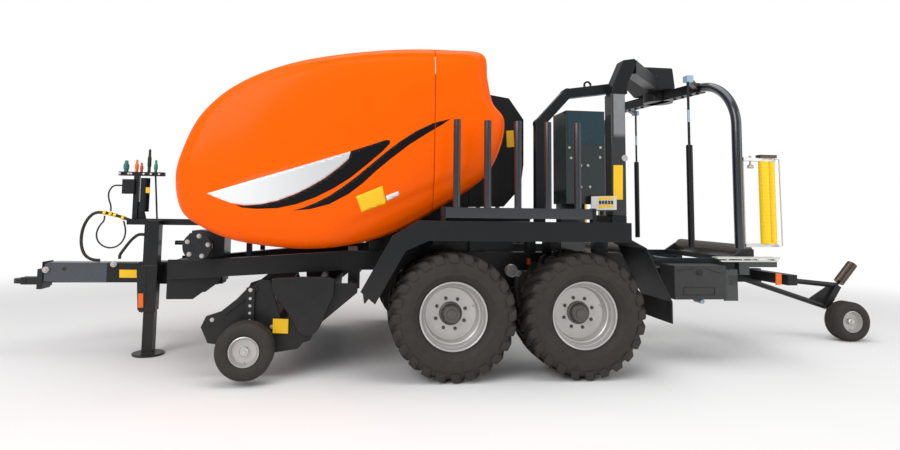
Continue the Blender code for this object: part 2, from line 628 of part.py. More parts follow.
# Each ring of the hood: inset towards its middle, and depth from its inner edge to its outer face
HOOD_RING_SHARES = [(0.0, 0.0), (0.0, 0.50), (0.025, 0.75), (0.10, 0.91), (0.40, 1.0)]


def hood_outline(steps=2):
    """Outline of a side hood in X and Z."""
    shares = smooth_closed(HOOD_OUTLINE_SHARES, steps)
    return [(HOOD_NOSE_X + u * HOOD_LENGTH, HOOD_BOTTOM_Z + v * HOOD_HEIGHT) for u, v in shares]


def hood_bowl(side):
    """Whole side hood as a closed bowl with a wall, open towards the machine."""
    outline = hood_outline()
    middle = Vector((HOOD_NOSE_X + 0.5 * HOOD_LENGTH, HOOD_BOTTOM_Z + 0.55 * HOOD_HEIGHT))
    depth = HOOD_OUTER_Y - HOOD_INNER_Y
    bm = bmesh.new()
    rings = []
    for inset, share in HOOD_RING_SHARES:
        ring = []
        for x, z in outline:
            place = middle + (Vector((x, z)) - middle) * (1 - inset)
            ring.append(bm.verts.new((place.x, side * (HOOD_INNER_Y + share * depth), place.y)))
        rings.append(ring)
    count = len(outline)
    for ring, following in zip(rings, rings[1:]):
        for index in range(count):
            after = (index + 1) % count
            bm.faces.new((ring[index], ring[after], following[after], following[index]))
    bm.faces.new(rings[-1])
    bmesh.ops.recalc_face_normals(bm, faces=bm.faces[:])
    outward = sum((face.normal.y for face in bm.faces if abs(face.normal.y) > 0.9))
    if outward * side < 0:
        bmesh.ops.reverse_faces(bm, faces=bm.faces[:])
    mesh = bpy.data.meshes.new("bowl")
    bm.to_mesh(mesh)
    bm.free()
    item = bpy.data.objects.new("bowl", mesh)
    PIECES.objects.link(item)
    shell = item.modifiers.new("wall", "SOLIDIFY")
    shell.thickness = HOOD_WALL
    shell.offset = -1
    return mesh_piece(item)


def build_hoods():
    """Side hoods: an opening front part and a fixed rear part on each side."""
    reach = 2 * HOOD_LENGTH
    for label, side in SIDES:
        hinge = (HOOD_SPLIT_X, side * HOOD_INNER_Y, HOOD_BOTTOM_Z + 1.004 * HOOD_HEIGHT)
        behind = block((HOOD_SPLIT_X, HOOD_SPLIT_X + reach), (-reach, reach), (-reach, reach))
        fuse("hood_%s" % label, [hood_bowl(side)], ORANGE, origin=hinge, cuts=[behind])
        rear_x = HOOD_SPLIT_X + HOOD_SPLIT_GAP
        ahead = block((rear_x - reach, rear_x), (-reach, reach), (-reach, reach))
        carriers = [rod((-0.45, side * (CHAMBER_INNER_Y + CHAMBER_PLATE + SEAT_GAP), z),
                        (-0.45, side * (HOOD_OUTER_Y - HOOD_WALL), z), 0.025) for z in (1.90, 2.25)]
        fuse("rear_cover_%s" % label, [hood_bowl(side)] + carriers, ORANGE, cuts=[ahead])


def build_roof():
    """Curved top cover between the side hoods, on four uprights."""
    edge_y = HOOD_INNER_Y - 2 * SEAT_GAP
    outline = hood_outline()
    middle = Vector((HOOD_NOSE_X + 0.5 * HOOD_LENGTH, HOOD_BOTTOM_Z + 0.55 * HOOD_HEIGHT))
    top = [point for point in outline if point[1] > HOOD_BOTTOM_Z + 0.60 * HOOD_HEIGHT and point[0] < GATE_HINGE_X - RUN_GAP]
    top.sort(key=lambda point: point[0])
    under = []
    for x, z in reversed(top):
        way = (middle - Vector((x, z))).normalized()
        under.append((x + way.x * ROOF_WALL, z + way.y * ROOF_WALL))
    pieces = [sheet([top + under], -edge_y, edge_y)]
    beam_front_x = NOSE_PLATE_X + NOSE_PLATE_THICKNESS
    post_x = -2.30
    share = (post_x - beam_front_x) / (RAIL_FRONT_X - beam_front_x)
    post_y = NOSE_PLATE_Y + share * (RAIL_Y - NOSE_PLATE_Y)
    post_z = BEAM_FRONT_Z + share * (RAIL_Z - BEAM_FRONT_Z) + BEAM_HEIGHT / 2
    for side in (-1, 1):
        pieces.append(block((post_x - BEAM_WIDTH / 4, post_x + BEAM_WIDTH / 4),
                            (side * (post_y - BEAM_WIDTH / 4), side * (post_y + BEAM_WIDTH / 4)), (post_z + 0.006, 2.545)))
        rear_y = side * (CHAMBER_INNER_Y + 2 * CHAMBER_PLATE)
        pieces.append(block((-0.68, -0.64), (rear_y, rear_y + side * BEAM_WIDTH / 2),
                            (RAIL_Z + BEAM_HEIGHT / 2 + SEAT_GAP, 2.89)))
    fuse("roof_cover", pieces, ORANGE)


def build_gearbox():
    """Main gearbox on the nose of the frame, with its input shaft."""
    centre_x = NOSE_PLATE_X + 0.7 * NOSE_PLATE_LENGTH
    base_z = NOSE_PLATE_TOP_Z - NOSE_PLATE_THICKNESS + SEAT_GAP
    case = block((centre_x - 0.16, centre_x + 0.16), (-0.17, 0.17), (base_z, base_z + 0.30))
    shaft_z = base_z + 0.17
    flange = rod((centre_x - 0.22, 0, shaft_z), (centre_x - 0.15, 0, shaft_z), 0.10, 20)
    shaft = rod((centre_x - 0.36, 0, shaft_z), (centre_x - 0.2, 0, shaft_z), 0.0225, 12)
    drive = rod((centre_x, 0, shaft_z), (centre_x, -0.60, shaft_z), 0.05, 14)
    fuse("main_gearbox", [case, flange, shaft, drive], GREY)


FENDER_PATH_SHARES = [(0.000, 0.000), (0.115, 0.860), (0.185, 1.0), (0.860, 1.0), (0.915, 0.86), (1.0, 0.0), (1.0, -0.35)]


def fender_path(shift):
    """Line of the fender sheet in X and Z, moved towards the tyres by a shift."""
    front_x = -1.22
    rear_x = 1.42
    low_z = 0.66
    length = rear_x - front_x
    height = FENDER_TOP_Z - low_z
    middle = Vector((front_x + length / 2, low_z))
    points = []
    for u, v in FENDER_PATH_SHARES:
        place = Vector((front_x + u * length, low_z + v * height))
        way = (middle - place).normalized()
        points.append(tuple(place + way * shift))
    return points


def build_fenders():
    """Tandem fender with an outer skirt and the hinge ears of the film rack, on each side."""
    for label, side in SIDES:
        band = fender_path(0) + fender_path(FENDER_SHEET * 1.2)[::-1]
        pieces = [sheet([band], side * FENDER_INNER_Y, side * FENDER_OUTER_Y)]
        skirt = [(-1.25, 0.75), (-1.13, 0.65), (-0.89, 1.08), (-0.70, 1.165), (1.06, 1.165), (1.06, SKIRT_TOP_Z),
                 (-0.79, SKIRT_TOP_Z), (-1.00, 1.20)]
        pieces.append(sheet([skirt], side * (FENDER_OUTER_Y - FENDER_SKIRT), side * FENDER_OUTER_Y))
        pieces.append(block((-0.79, 1.06), (side * (FENDER_OUTER_Y - 0.10), side * FENDER_OUTER_Y),
                            (SKIRT_TOP_Z - FENDER_SKIRT, SKIRT_TOP_Z)))
        for x in (RACK_FRONT_X - 0.03, RACK_REAR_X + 0.0005):
            pieces.append(block((x, x + 0.0295), (side * (RACK_Y - 0.04), side * (RACK_Y + 0.04)),
                                (SKIRT_TOP_Z - FENDER_SKIRT, RACK_Z + 0.05)))
        rail_side_y = side * (RAIL_Y + BEAM_WIDTH / 2 + SEAT_GAP)
        for x in (-0.60, 0.50):
            pieces.append(block((x, x + 0.08), (rail_side_y, side * (FENDER_INNER_Y + 0.06)),
                                (1.10, FENDER_TOP_Z - FENDER_SHEET / 2)))
            pieces.append(block((x, x + 0.08), (rail_side_y, rail_side_y + side * 0.05), (0.90, 1.12)))
        fuse("fender_%s" % label, pieces, BLACK)


def build_racks():
    """Film roll racks: a rail with upright posts that folds outwards."""
    for label, side in SIDES:
        half = RACK_RAIL_WIDTH / 2
        pieces = [block((RACK_FRONT_X, RACK_REAR_X), (side * (RACK_Y - half), side * (RACK_Y + half)),
                        (RACK_Z - RACK_RAIL_HEIGHT / 2, RACK_Z + RACK_RAIL_HEIGHT / 2))]
        for number in range(RACK_POST_COUNT):
            x = RACK_POST_FIRST_X + number * RACK_POST_PITCH
            pieces.append(rod((x, side * RACK_Y, RACK_Z), (x, side * RACK_Y, RACK_POST_TOP_Z), RACK_POST_RADIUS, 10))
        fuse("film_rack_%s" % label, pieces, BLACK, origin=(RACK_FRONT_X, side * RACK_Y, RACK_Z))


def build_pickup():
    """Pickup frame with side plates, tined reel, crop roller and gauge wheels."""
    pivot = (PICKUP_PIVOT_X, 0, PICKUP_PIVOT_Z)
    outline = [(-2.16, 0.80), (-2.54, 0.50), (-2.48, 0.29), (-1.96, 0.21), (-1.76, 0.24), (-1.60, 0.42),
               (-1.27, 0.70), (-1.27, 0.78), (-1.60, 0.78), (-1.90, 0.70)]
    pieces = []
    for _, side in SIDES:
        pieces.append(sheet([outline], side * (PICKUP_PLATE_Y - PICKUP_PLATE), side * PICKUP_PLATE_Y))
        pieces.append(rod((PICKUP_PIVOT_X, side * (PIVOT_EAR_Y + 2 * SEAT_GAP), PICKUP_PIVOT_Z),
                          (PICKUP_PIVOT_X, side * (PICKUP_PLATE_Y - 0.01), PICKUP_PIVOT_Z), 0.035))
        spindle_y = side * (GAUGE_Y + GAUGE_WIDTH / 4)
        pieces.append(rod((GAUGE_X, side * (PICKUP_PLATE_Y - 0.01), GAUGE_Z), (GAUGE_X, spindle_y, GAUGE_Z), 0.02))
    pieces.append(rod((-1.62, -PICKUP_PLATE_Y + 0.01, 0.62), (-1.62, PICKUP_PLATE_Y - 0.01, 0.62), 0.05))
    trough = [(-1.80, 0.26), (-1.66, 0.30), (-1.56, 0.50), (-1.42, 0.62), (-1.42, 0.66), (-1.60, 0.52), (-1.69, 0.33),
              (-1.80, 0.28)]
    pieces.append(sheet([trough], -PICKUP_PLATE_Y + 0.01, PICKUP_PLATE_Y - 0.01))
    heart = [(-2.00, 0.78), (-1.98, 0.83), (-1.50, 0.83), (-1.46, 0.78), (-1.47, 0.62), (-1.60, 0.40), (-1.68, 0.34),
             (-1.76, 0.38), (-1.98, 0.62)]
    pieces.append(sheet([heart], -PICKUP_PLATE_Y + 0.005, -PICKUP_PLATE_Y - 0.07))
    fuse("pickup_frame", pieces, BLACK, origin=pivot)

    inner_y = PICKUP_PLATE_Y - PICKUP_PLATE - 2 * SEAT_GAP
    reel = [rod((REEL_X, -inner_y, REEL_Z), (REEL_X, inner_y, REEL_Z), REEL_DRUM_RADIUS, 15)]
    for row in range(REEL_ROWS):
        angle = 2 * math.pi * row / REEL_ROWS
        way = Vector((math.cos(angle), 0, math.sin(angle)))
        for number in range(REEL_TINES):
            y = -inner_y + (number + 0.5) * 2 * inner_y / REEL_TINES
            root = Vector((REEL_X, y, REEL_Z)) + way * (REEL_DRUM_RADIUS - 0.02)
            tip = Vector((REEL_X, y, REEL_Z)) + way * REEL_TINE_RADIUS
            reel.append(rod(root, tip, REEL_TINE_THICKNESS, 4))
    fuse("pickup_reel", reel, STEEL, origin=(REEL_X, 0, REEL_Z))

    guard_y = PICKUP_PLATE_Y - PICKUP_PLATE - SEAT_GAP
    guard = [rod((-2.46, -guard_y + 0.04, 0.42), (-2.46, guard_y - 0.04, 0.42), 0.05, 12)]
    for _, side in SIDES:
        guard.append(beam((-2.46, side * (guard_y - 0.03), 0.42), (-2.16, side * (guard_y - 0.03), 0.74), 0.02, 0.05))
        guard.append(rod((-2.17, side * (guard_y - 0.04), 0.73), (-2.17, side * guard_y, 0.73), 0.02))
    fuse("wind_guard", guard, BLACK)

    for label, side in SIDES:
        centre = (GAUGE_X, side * GAUGE_Y, GAUGE_Z)
        half = GAUGE_WIDTH / 2
        profile = [(0, 0.75 * half), (0.03, 0.75 * half), (0.035, 0.5 * half), (0.11, 0.5 * half), (0.12, 0.85 * half),
                   (0.15, half), (GAUGE_RADIUS - 0.03, half), (GAUGE_RADIUS, 0.6 * half), (GAUGE_RADIUS, -0.6 * half),
                   (GAUGE_RADIUS - 0.03, -half), (0.15, -half), (0.12, -0.85 * half), (0.04, -0.85 * half),
                   (0.021, -0.85 * half), (0.021, 0.55 * half), (0, 0.55 * half)]
        fuse("gauge_wheel_%s" % label, [turned(profile, centre, (0, side, 0), 16)], RUBBER, origin=centre)


def build_hose_post():
    """Post on the drawbar with its tray, connector rack and control box."""
    top_z = DRAWBAR_BOTTOM_Z + DRAWBAR_HEIGHT + SLEEVE_WALL + SEAT_GAP
    pieces = [block((POST_X, POST_X + 0.09), (POST_Y - 0.05, POST_Y + 0.05), (top_z, POST_TOP_Z)),
              block((POST_X - 0.14, POST_X + 0.56), (POST_Y - 0.14, POST_Y + 0.14), (TRAY_Z - 0.03, TRAY_Z + 0.03)),
              block((POST_X - 0.28, POST_X + 0.18), (POST_Y - 0.03, POST_Y + 0.03), (POST_TOP_Z - 0.02, POST_TOP_Z + 0.03)),
              block((POST_X - 0.23, POST_X + 0.01), (POST_Y - 0.04, POST_Y + 0.04), (1.53, 1.69))]
    for x, height in ((-0.20, 0.13), (-0.08, 0.14), (0.03, 0.27), (0.09, 0.16)):
        pieces.append(rod((POST_X + x, POST_Y, POST_TOP_Z), (POST_X + x, POST_Y, POST_TOP_Z + height), 0.022, 10))
    fuse("hose_post", pieces, BLACK)


def build_tower():
    """Cantilever tower: outrigger, column, leaning head, top beam, and the bent brace."""
    foot_z = 1.27
    head = (COLUMN_X + HEAD_LEAN, COLUMN_Y, HEAD_TOP_Z)
    seat = (SATELLITE_X - 0.04, -0.05, HEAD_TOP_Z - 0.02)
    half = COLUMN_SIZE / 2
    rail_top = RAIL_Z + BEAM_HEIGHT / 2 + SEAT_GAP
    pieces = [block((COLUMN_X - half, COLUMN_X + half), (-RAIL_Y + BEAM_WIDTH / 2, COLUMN_Y - half), (foot_z, foot_z + 0.12)),
              block((COLUMN_X - half, COLUMN_X + half), (-RAIL_Y - BEAM_WIDTH / 2, -RAIL_Y + BEAM_WIDTH / 2), (rail_top, foot_z + 0.12)),
              block((COLUMN_X - half, COLUMN_X + half), (COLUMN_Y - half, COLUMN_Y + half), (foot_z, COLUMN_TOP_Z)),
              beam((COLUMN_X, COLUMN_Y, COLUMN_TOP_Z - 0.04), head, COLUMN_SIZE, COLUMN_SIZE),
              beam(head, seat, 0.12, 0.14),
              rod((SATELLITE_X, 0, SATELLITE_BEAM_Z + SATELLITE_BEAM_HEIGHT / 2 + 0.0005), (SATELLITE_X, 0, HEAD_TOP_Z + 0.03), 0.14, 20),
              block((SATELLITE_X - 0.19, SATELLITE_X + 0.18), (-0.28, 0.25), (HEAD_TOP_Z - 0.07, HEAD_TOP_Z + 0.14))]
    brace = [(0.395, 1.24), (0.395, 2.24), (0.66, 2.53), (COLUMN_X + 0.02, 2.60)]
    for start, end in zip(brace, brace[1:]):
        pieces.append(beam((start[0], -1.0, start[1]), (end[0], -1.0, end[1]), 0.09, 0.09))
    for x, z in brace[1:3]:
        pieces.append(rod((x, -1.045, z), (x, -0.955, z), 0.05, 12))
    pieces.append(block((0.35, 0.44), (-RAIL_Y + BEAM_WIDTH / 2, -1.045), (1.21, 1.29)))
    pieces.append(block((0.35, 0.44), (-RAIL_Y - BEAM_WIDTH / 2, -RAIL_Y + BEAM_WIDTH / 2), (rail_top, 1.29)))
    fuse("wrapper_tower", pieces, BLACK)


def ring_place(radius, degrees, z):
    """Place at a radius and an angle about the satellite's axis."""
    x, y = polar((SATELLITE_X, 0), radius, degrees)
    return (x, y, z)


def build_satellite():
    """Overhead cross beam with two curved arms, safety rods and film units."""
    origin = (SATELLITE_X, 0, SATELLITE_BEAM_Z)
    pieces = []
    half_z = SATELLITE_BEAM_HEIGHT / 2
    pieces.append(rod((SATELLITE_X, 0, SATELLITE_BEAM_Z - half_z), (SATELLITE_X, 0, SATELLITE_BEAM_Z + half_z), 0.16, 20))
    for turn in (0, 180):
        angle = ARM_ANGLE_DEG + turn
        straight = ARM_RADIUS - ARM_BEND
        pieces.append(beam(ring_place(0, angle, SATELLITE_BEAM_Z), ring_place(straight, angle, SATELLITE_BEAM_Z),
                           SATELLITE_BEAM_WIDTH, SATELLITE_BEAM_HEIGHT))
        path = [ring_place(straight - 0.10, angle, SATELLITE_BEAM_Z), ring_place(straight, angle, SATELLITE_BEAM_Z)]
        for degrees in range(15, 91, 15):
            bend = math.radians(degrees)
            path.append(ring_place(straight + ARM_BEND * math.sin(bend), angle,
                                   SATELLITE_BEAM_Z - ARM_BEND * (1 - math.cos(bend))))
        path.append(ring_place(ARM_RADIUS, angle, ARM_BOTTOM_Z))
        pieces.append(pipe(path, ARM_TUBE_RADIUS))
        rod_angle = ROD_ANGLE_DEG + turn
        tip = ring_place(ROD_RADIUS_FROM_AXIS, rod_angle, SATELLITE_BEAM_Z)
        pieces.append(beam(ring_place(straight - 0.05, angle, SATELLITE_BEAM_Z), tip, 0.05, 0.05))
        pieces.append(rod((tip[0], tip[1], SATELLITE_BEAM_Z), (tip[0], tip[1], 1.6), 0.012, 8))
        pieces.append(rod((tip[0], tip[1], 2.08), (tip[0], tip[1], 1.10), 0.03, 12))
    fuse("satellite_arms", pieces, BLACK, origin=origin)

    for label, turn in (("left", 0), ("right", 180)):
        arm_angle = ARM_ANGLE_DEG + turn
        film_angle = FILM_ANGLE_DEG + turn
        top_z = FILM_ROLLER_BOTTOM_Z + FILM_ROLLER_LENGTH + 0.02
        low_z = FILM_ROLLER_BOTTOM_Z - 0.02
        frame = []
        arm = ring_place(ARM_RADIUS, arm_angle, 0)
        far = ring_place(FILM_RADIUS + 0.01, film_angle + 6.5, 0)
        way = (Vector(far) - Vector(arm)).normalized()
        start = Vector(arm) + way * (ARM_TUBE_RADIUS + SEAT_GAP)
        for z in (top_z, low_z):
            frame.append(beam(start + Vector((0, 0, z)), Vector(far) + Vector((0, 0, z)), 0.06, 0.03))
        for place in (start + way * 0.012, Vector(far) - way * 0.008):
            frame.append(rod(place + Vector((0, 0, low_z)), place + Vector((0, 0, top_z)), 0.012, 8))
        fuse("film_unit_%s" % label, frame, STEEL)
        rollers = []
        for shift in (-1.6, 3.4):
            x, y, _ = ring_place(FILM_RADIUS, film_angle + shift, 0)
            rollers.append(rod((x, y, FILM_ROLLER_BOTTOM_Z), (x, y, FILM_ROLLER_BOTTOM_Z + FILM_ROLLER_LENGTH), FILM_ROLLER_RADIUS, 20))
        middle = ring_place(FILM_RADIUS, film_angle + 0.9, FILM_ROLLER_BOTTOM_Z - 0.0049)
        rollers.append(rod(middle, (middle[0], middle[1], FILM_ROLLER_BOTTOM_Z + 0.01), 0.05, 12))
        fuse("film_rollers_%s" % label, rollers, YELLOW)


def build_table():
    """Tilting wrapping table with two rollers, guide posts and the film cutter."""
    pivot = (TABLE_PIVOT_X, 0, TABLE_PIVOT_Z)
    half = TABLE_ROLLER_LENGTH / 2
    pieces = []
    for _, side in SIDES:
        y0 = side * (half + 2 * SEAT_GAP)
        y1 = side * (half + 0.03)
        outline = [(SATELLITE_X - TABLE_ROLLER_X - 0.08, 1.06), (SATELLITE_X - TABLE_ROLLER_X - 0.08, 0.98),
                   (SATELLITE_X - 0.2, 0.90), (SATELLITE_X + 0.35, 0.86), (SATELLITE_X + 0.50, 0.86),
                   (SATELLITE_X + TABLE_ROLLER_X + 0.06, 0.98), (SATELLITE_X + TABLE_ROLLER_X + 0.06, 1.06),
                   (SATELLITE_X + TABLE_ROLLER_X - 0.06, 1.06), (SATELLITE_X + 0.40, 0.97),
                   (SATELLITE_X - 0.40, 0.97), (SATELLITE_X - TABLE_ROLLER_X + 0.06, 1.06)]
        pieces.append(sheet([outline], y0, y1))
    front_x = SATELLITE_X - 0.15
    pieces.append(block((front_x - 0.04, front_x + 0.04), (-half - 0.01, half + 0.01), (0.88, 0.95)))
    pieces.append(block((TABLE_PIVOT_X - 0.025, TABLE_PIVOT_X + 0.025), (-half - 0.01, half + 0.01), (0.925, 0.975)))
    for _, side in SIDES:
        pieces.append(block((TABLE_PIVOT_X - 0.03, TABLE_PIVOT_X + 0.03), (side * 0.35, side * 0.38), (0.855, 0.93)))
        pieces.append(rod((TABLE_PIVOT_X, side * 0.36, TABLE_PIVOT_Z), (TABLE_PIVOT_X, side * 0.4395, TABLE_PIVOT_Z), 0.018))
    fuse("table_frame", pieces, GREY, origin=pivot)
    for label, sign in (("front", -1), ("rear", 1)):
        x = SATELLITE_X + sign * TABLE_ROLLER_X
        item = rod((x, -half, TABLE_ROLLER_Z), (x, half, TABLE_ROLLER_Z), TABLE_ROLLER_RADIUS, 20)
        fuse("table_roller_%s" % label, [item], GREY, origin=(x, 0, TABLE_ROLLER_Z))
    cutter = [block((2.20, 2.86), (-0.93, -0.80), (0.955, 1.0)), block((2.30, 2.40), (-0.93, -0.83), (0.8303, 0.956))]
    fuse("film_cutter", cutter, STEEL)


def build_rear_frame():
    """Rails of the wrapper behind the axle, with cross members and the lamp bar."""
    pieces = []
    low = TAIL_RAIL_Z - TAIL_RAIL_HEIGHT / 2
    high = TAIL_RAIL_Z + TAIL_RAIL_HEIGHT / 2
    front_x = RAIL_REAR_X + SEAT_GAP
    for _, side in SIDES:
        pieces.append(block((front_x, TAIL_RAIL_REAR_X), (side * (TAIL_RAIL_Y - TAIL_RAIL_WIDTH), side * TAIL_RAIL_Y), (low, high)))
        pieces.append(block((front_x, front_x + 0.10), (side * (TAIL_RAIL_Y - TAIL_RAIL_WIDTH), side * (RAIL_Y + BEAM_WIDTH / 2)),
                            (low, RAIL_Z + 0.06)))
    for _, side in SIDES:
        pieces.append(block((TABLE_PIVOT_X - 0.03, TABLE_PIVOT_X + 0.03), (side * 0.44, side * 0.46), (high - 0.01, 0.905)))
        pieces.append(block((SATELLITE_X - 0.18, SATELLITE_X - 0.12), (side * 0.41, side * 0.47), (high - 0.01, 0.8797)))
    for x in (1.9, 2.88):
        pieces.append(block((x, x + 0.10), (-TAIL_RAIL_Y + 0.01, TAIL_RAIL_Y - 0.01), (low + 0.01, high - 0.01)))
    pieces.append(block((2.30, 2.40), (-0.93, -TAIL_RAIL_Y + 0.02), (low + 0.02, high - 0.02)))
    for _, side in SIDES:
        pieces.append(block((2.86, 2.96), (side * (TAIL_RAIL_Y - 0.02), side * 1.02), (low + 0.03, high - 0.01)))
    fuse("rear_frame", pieces, BLACK)


def build_boxes():
    """Cabinet, control panel and toolbox."""
    rail_top = RAIL_Z + BEAM_HEIGHT / 2 + SEAT_GAP
    cabinet = [block((0.60, 0.97), (-1.15, -0.80), (1.49, 2.35)), block((0.66, 0.90), (-0.84, -0.70), (rail_top, 1.60))]
    fuse("cabinet", cabinet, BLACK)
    panel = [block((0.83, 1.02), (-1.22, -1.1503), (1.43, 1.57))]
    fuse("control_panel", panel, PLASTIC)
    box = block((1.74, 2.27), (-0.95, -0.68), (0.60, 0.92))
    link = block((1.85, 2.15), (-0.70, -TAIL_RAIL_Y - SEAT_GAP), (0.73, 0.83))
    fuse("toolbox", [box, link], PLASTIC)


def build_turner():
    """Trailing bale turner: two arms to a post with a roller, on its own wheel."""
    pivot = (TURNER_PIVOT_X, 0, TURNER_PIVOT_Z)
    y = TURNER_Y
    post_low = (4.18, y, 0.34)
    post_high = (4.35, y, 0.60)
    low_z = TAIL_RAIL_Z - TAIL_RAIL_HEIGHT / 2
    pieces = [rod((TURNER_PIVOT_X, y - 0.10, TURNER_PIVOT_Z), (TURNER_PIVOT_X, y + 0.10, TURNER_PIVOT_Z), 0.04),
              pipe([(TURNER_PIVOT_X, y, TURNER_PIVOT_Z), (4.35, y, 0.60)], TURNER_TUBE),
              pipe([(TURNER_PIVOT_X, y, TURNER_PIVOT_Z - 0.02), (4.18, y, 0.36)], TURNER_TUBE),
              beam(post_low, post_high, 0.08, 0.07)]
    gusset = [(3.96, 0.43), (4.24, 0.60), (4.32, 0.58), (4.20, 0.36)]
    pieces.append(sheet([gusset], y - 0.006, y + 0.006))
    pieces.append(rod((TURNER_WHEEL_X, y, TURNER_WHEEL_RADIUS), (TURNER_WHEEL_X, y - 0.15, TURNER_WHEEL_RADIUS), 0.02))
    pieces.append(beam((4.20, y, 0.40), (TURNER_WHEEL_X, y, TURNER_WHEEL_RADIUS), 0.05, 0.05))
    way = (Vector((4.553, y, 0.83)) - Vector(post_high)).normalized()
    pieces.append(rod(post_high, tuple(Vector(post_high) + way * 0.285), 0.015, 8))
    fuse("turner_frame", pieces, BLACK, origin=pivot)
    start = Vector(post_high) + way * 0.05
    profile = [(0, 0.28), (0.055, 0.28), (0.055, 0.0), (0.0155, 0.0), (0.0155, 0.24), (0, 0.24)]
    roller = turned(profile, start, way, 20)
    fuse("turner_roller", [roller], GREY, origin=tuple(start))
    centre = (TURNER_WHEEL_X, y - 0.05 - TURNER_WHEEL_WIDTH / 2, TURNER_WHEEL_RADIUS)
    half = TURNER_WHEEL_WIDTH / 2
    radius = TURNER_WHEEL_RADIUS
    profile = [(0, 0.2 * half), (0.03, 0.2 * half), (0.04, -0.2 * half), (0.10, 0.3 * half), (0.12, 0.8 * half),
               (0.15, half), (radius - 0.03, 0.9 * half), (radius, 0.5 * half), (radius, -0.5 * half),
               (radius - 0.03, -0.9 * half), (0.15, -half), (0.12, -0.9 * half), (0.021, -0.9 * half), (0.021, 0.0), (0, 0)]
    fuse("turner_wheel", [turned(profile, centre, (0, -1, 0), 18)], RUBBER, origin=centre)
    lugs = []
    for shift in (-0.13, 0.1003):
        lugs.append(block((TAIL_RAIL_REAR_X + SEAT_GAP, TURNER_PIVOT_X + 0.05), (y + shift, y + shift + 0.0297),
                          (TURNER_PIVOT_Z - 0.06, TURNER_PIVOT_Z + 0.06)))
    lugs.append(block((TAIL_RAIL_REAR_X + SEAT_GAP, TURNER_PIVOT_X - 0.06), (y - 0.13, y + 0.13),
                      (TURNER_PIVOT_Z - 0.06, TURNER_PIVOT_Z + 0.06)))
    fuse("turner_bracket", lugs, BLACK)


build_hitch()
build_jack()
build_front_frame()
build_tandem_axle()
build_wheels()
build_chamber()
build_tailgate()
build_hoods()
build_roof()
build_gearbox()
build_fenders()
build_racks()
build_pickup()
build_hose_post()
build_tower()
build_satellite()
build_table()
build_rear_frame()
build_boxes()
build_turner()
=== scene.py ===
"""Looks of the baler and bale wrapper: shapes, materials, details, lights and camera."""
import json
import math

import bmesh
import bpy
from mathutils import Matrix, Vector
from mathutils.bvhtree import BVHTree


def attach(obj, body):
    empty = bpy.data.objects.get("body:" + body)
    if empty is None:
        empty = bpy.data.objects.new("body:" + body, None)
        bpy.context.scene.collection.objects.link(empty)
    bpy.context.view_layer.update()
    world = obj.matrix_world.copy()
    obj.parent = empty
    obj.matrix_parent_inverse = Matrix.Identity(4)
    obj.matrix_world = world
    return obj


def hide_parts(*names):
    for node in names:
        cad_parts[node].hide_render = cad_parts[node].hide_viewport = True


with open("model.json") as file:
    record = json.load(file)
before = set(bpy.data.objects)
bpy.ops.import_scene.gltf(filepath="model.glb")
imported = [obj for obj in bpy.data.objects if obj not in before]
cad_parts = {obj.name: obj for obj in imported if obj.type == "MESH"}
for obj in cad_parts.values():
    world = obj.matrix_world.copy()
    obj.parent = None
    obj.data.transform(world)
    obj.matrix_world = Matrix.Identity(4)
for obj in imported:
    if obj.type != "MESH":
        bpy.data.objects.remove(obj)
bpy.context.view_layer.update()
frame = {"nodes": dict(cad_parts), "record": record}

NODES = frame["nodes"]
SIDES = (("left", -1), ("right", 1))

# Camera: place, focal length and middle in pixels of the picture, angles in degrees
EYE = Vector((-1.348, -6.402, 1.423))
FOCAL = 598.1
MIDDLE = (422.4, 159.3)
PICTURE = (900, 450)
YAW, PITCH, ROLL = (math.radians(value) for value in (6.79, 4.78, 0.80))
LOOK = Vector((math.sin(YAW) * math.cos(PITCH), math.cos(YAW) * math.cos(PITCH), math.sin(PITCH)))
LEVEL = Vector((math.cos(YAW), -math.sin(YAW), 0))
RISE = LEVEL.cross(LOOK)
RIGHT = LEVEL * math.cos(ROLL) + RISE * math.sin(ROLL)
UP = RISE * math.cos(ROLL) - LEVEL * math.sin(ROLL)


def make_camera():
    """Camera at the photograph's angle."""
    data = bpy.data.cameras.new("camera")
    data.sensor_width = 36.0
    data.lens = FOCAL / PICTURE[0] * data.sensor_width
    data.shift_x = (PICTURE[0] / 2 - MIDDLE[0]) / PICTURE[0]
    data.shift_y = (MIDDLE[1] - PICTURE[1] / 2) / PICTURE[0]
    camera = bpy.data.objects.new("camera", data)
    camera.matrix_world = Matrix.Translation(EYE) @ Matrix((RIGHT, UP, -LOOK)).transposed().to_4x4()
    bpy.context.scene.collection.objects.link(camera)
    bpy.context.scene.camera = camera


make_camera()


def sight(px, py):
    """Direction from the camera through a place of the picture."""
    return (LOOK * FOCAL + RIGHT * (px - MIDDLE[0]) - UP * (py - MIDDLE[1])).normalized()


def on_plane(px, py, y):
    """Place in X and Z that a place of the picture shows on a plane of constant Y."""
    way = sight(px, py)
    share = (y - EYE.y) / way.y
    return (EYE.x + way.x * share, EYE.z + way.z * share)


# Materials
class Tree:
    """Short hand for building a node tree."""

    def __init__(self, owner):
        owner.use_nodes = True
        self.tree = owner.node_tree

    def add(self, kind, inputs=None, **settings):
        node = self.tree.nodes.new("ShaderNode" + kind)
        for key, value in settings.items():
            setattr(node, key, value)
        for key, value in (inputs or {}).items():
            self.put(node.inputs[key], value)
        return node

    def put(self, socket, value):
        if isinstance(value, bpy.types.NodeSocket):
            self.tree.links.new(value, socket)
        else:
            socket.default_value = value


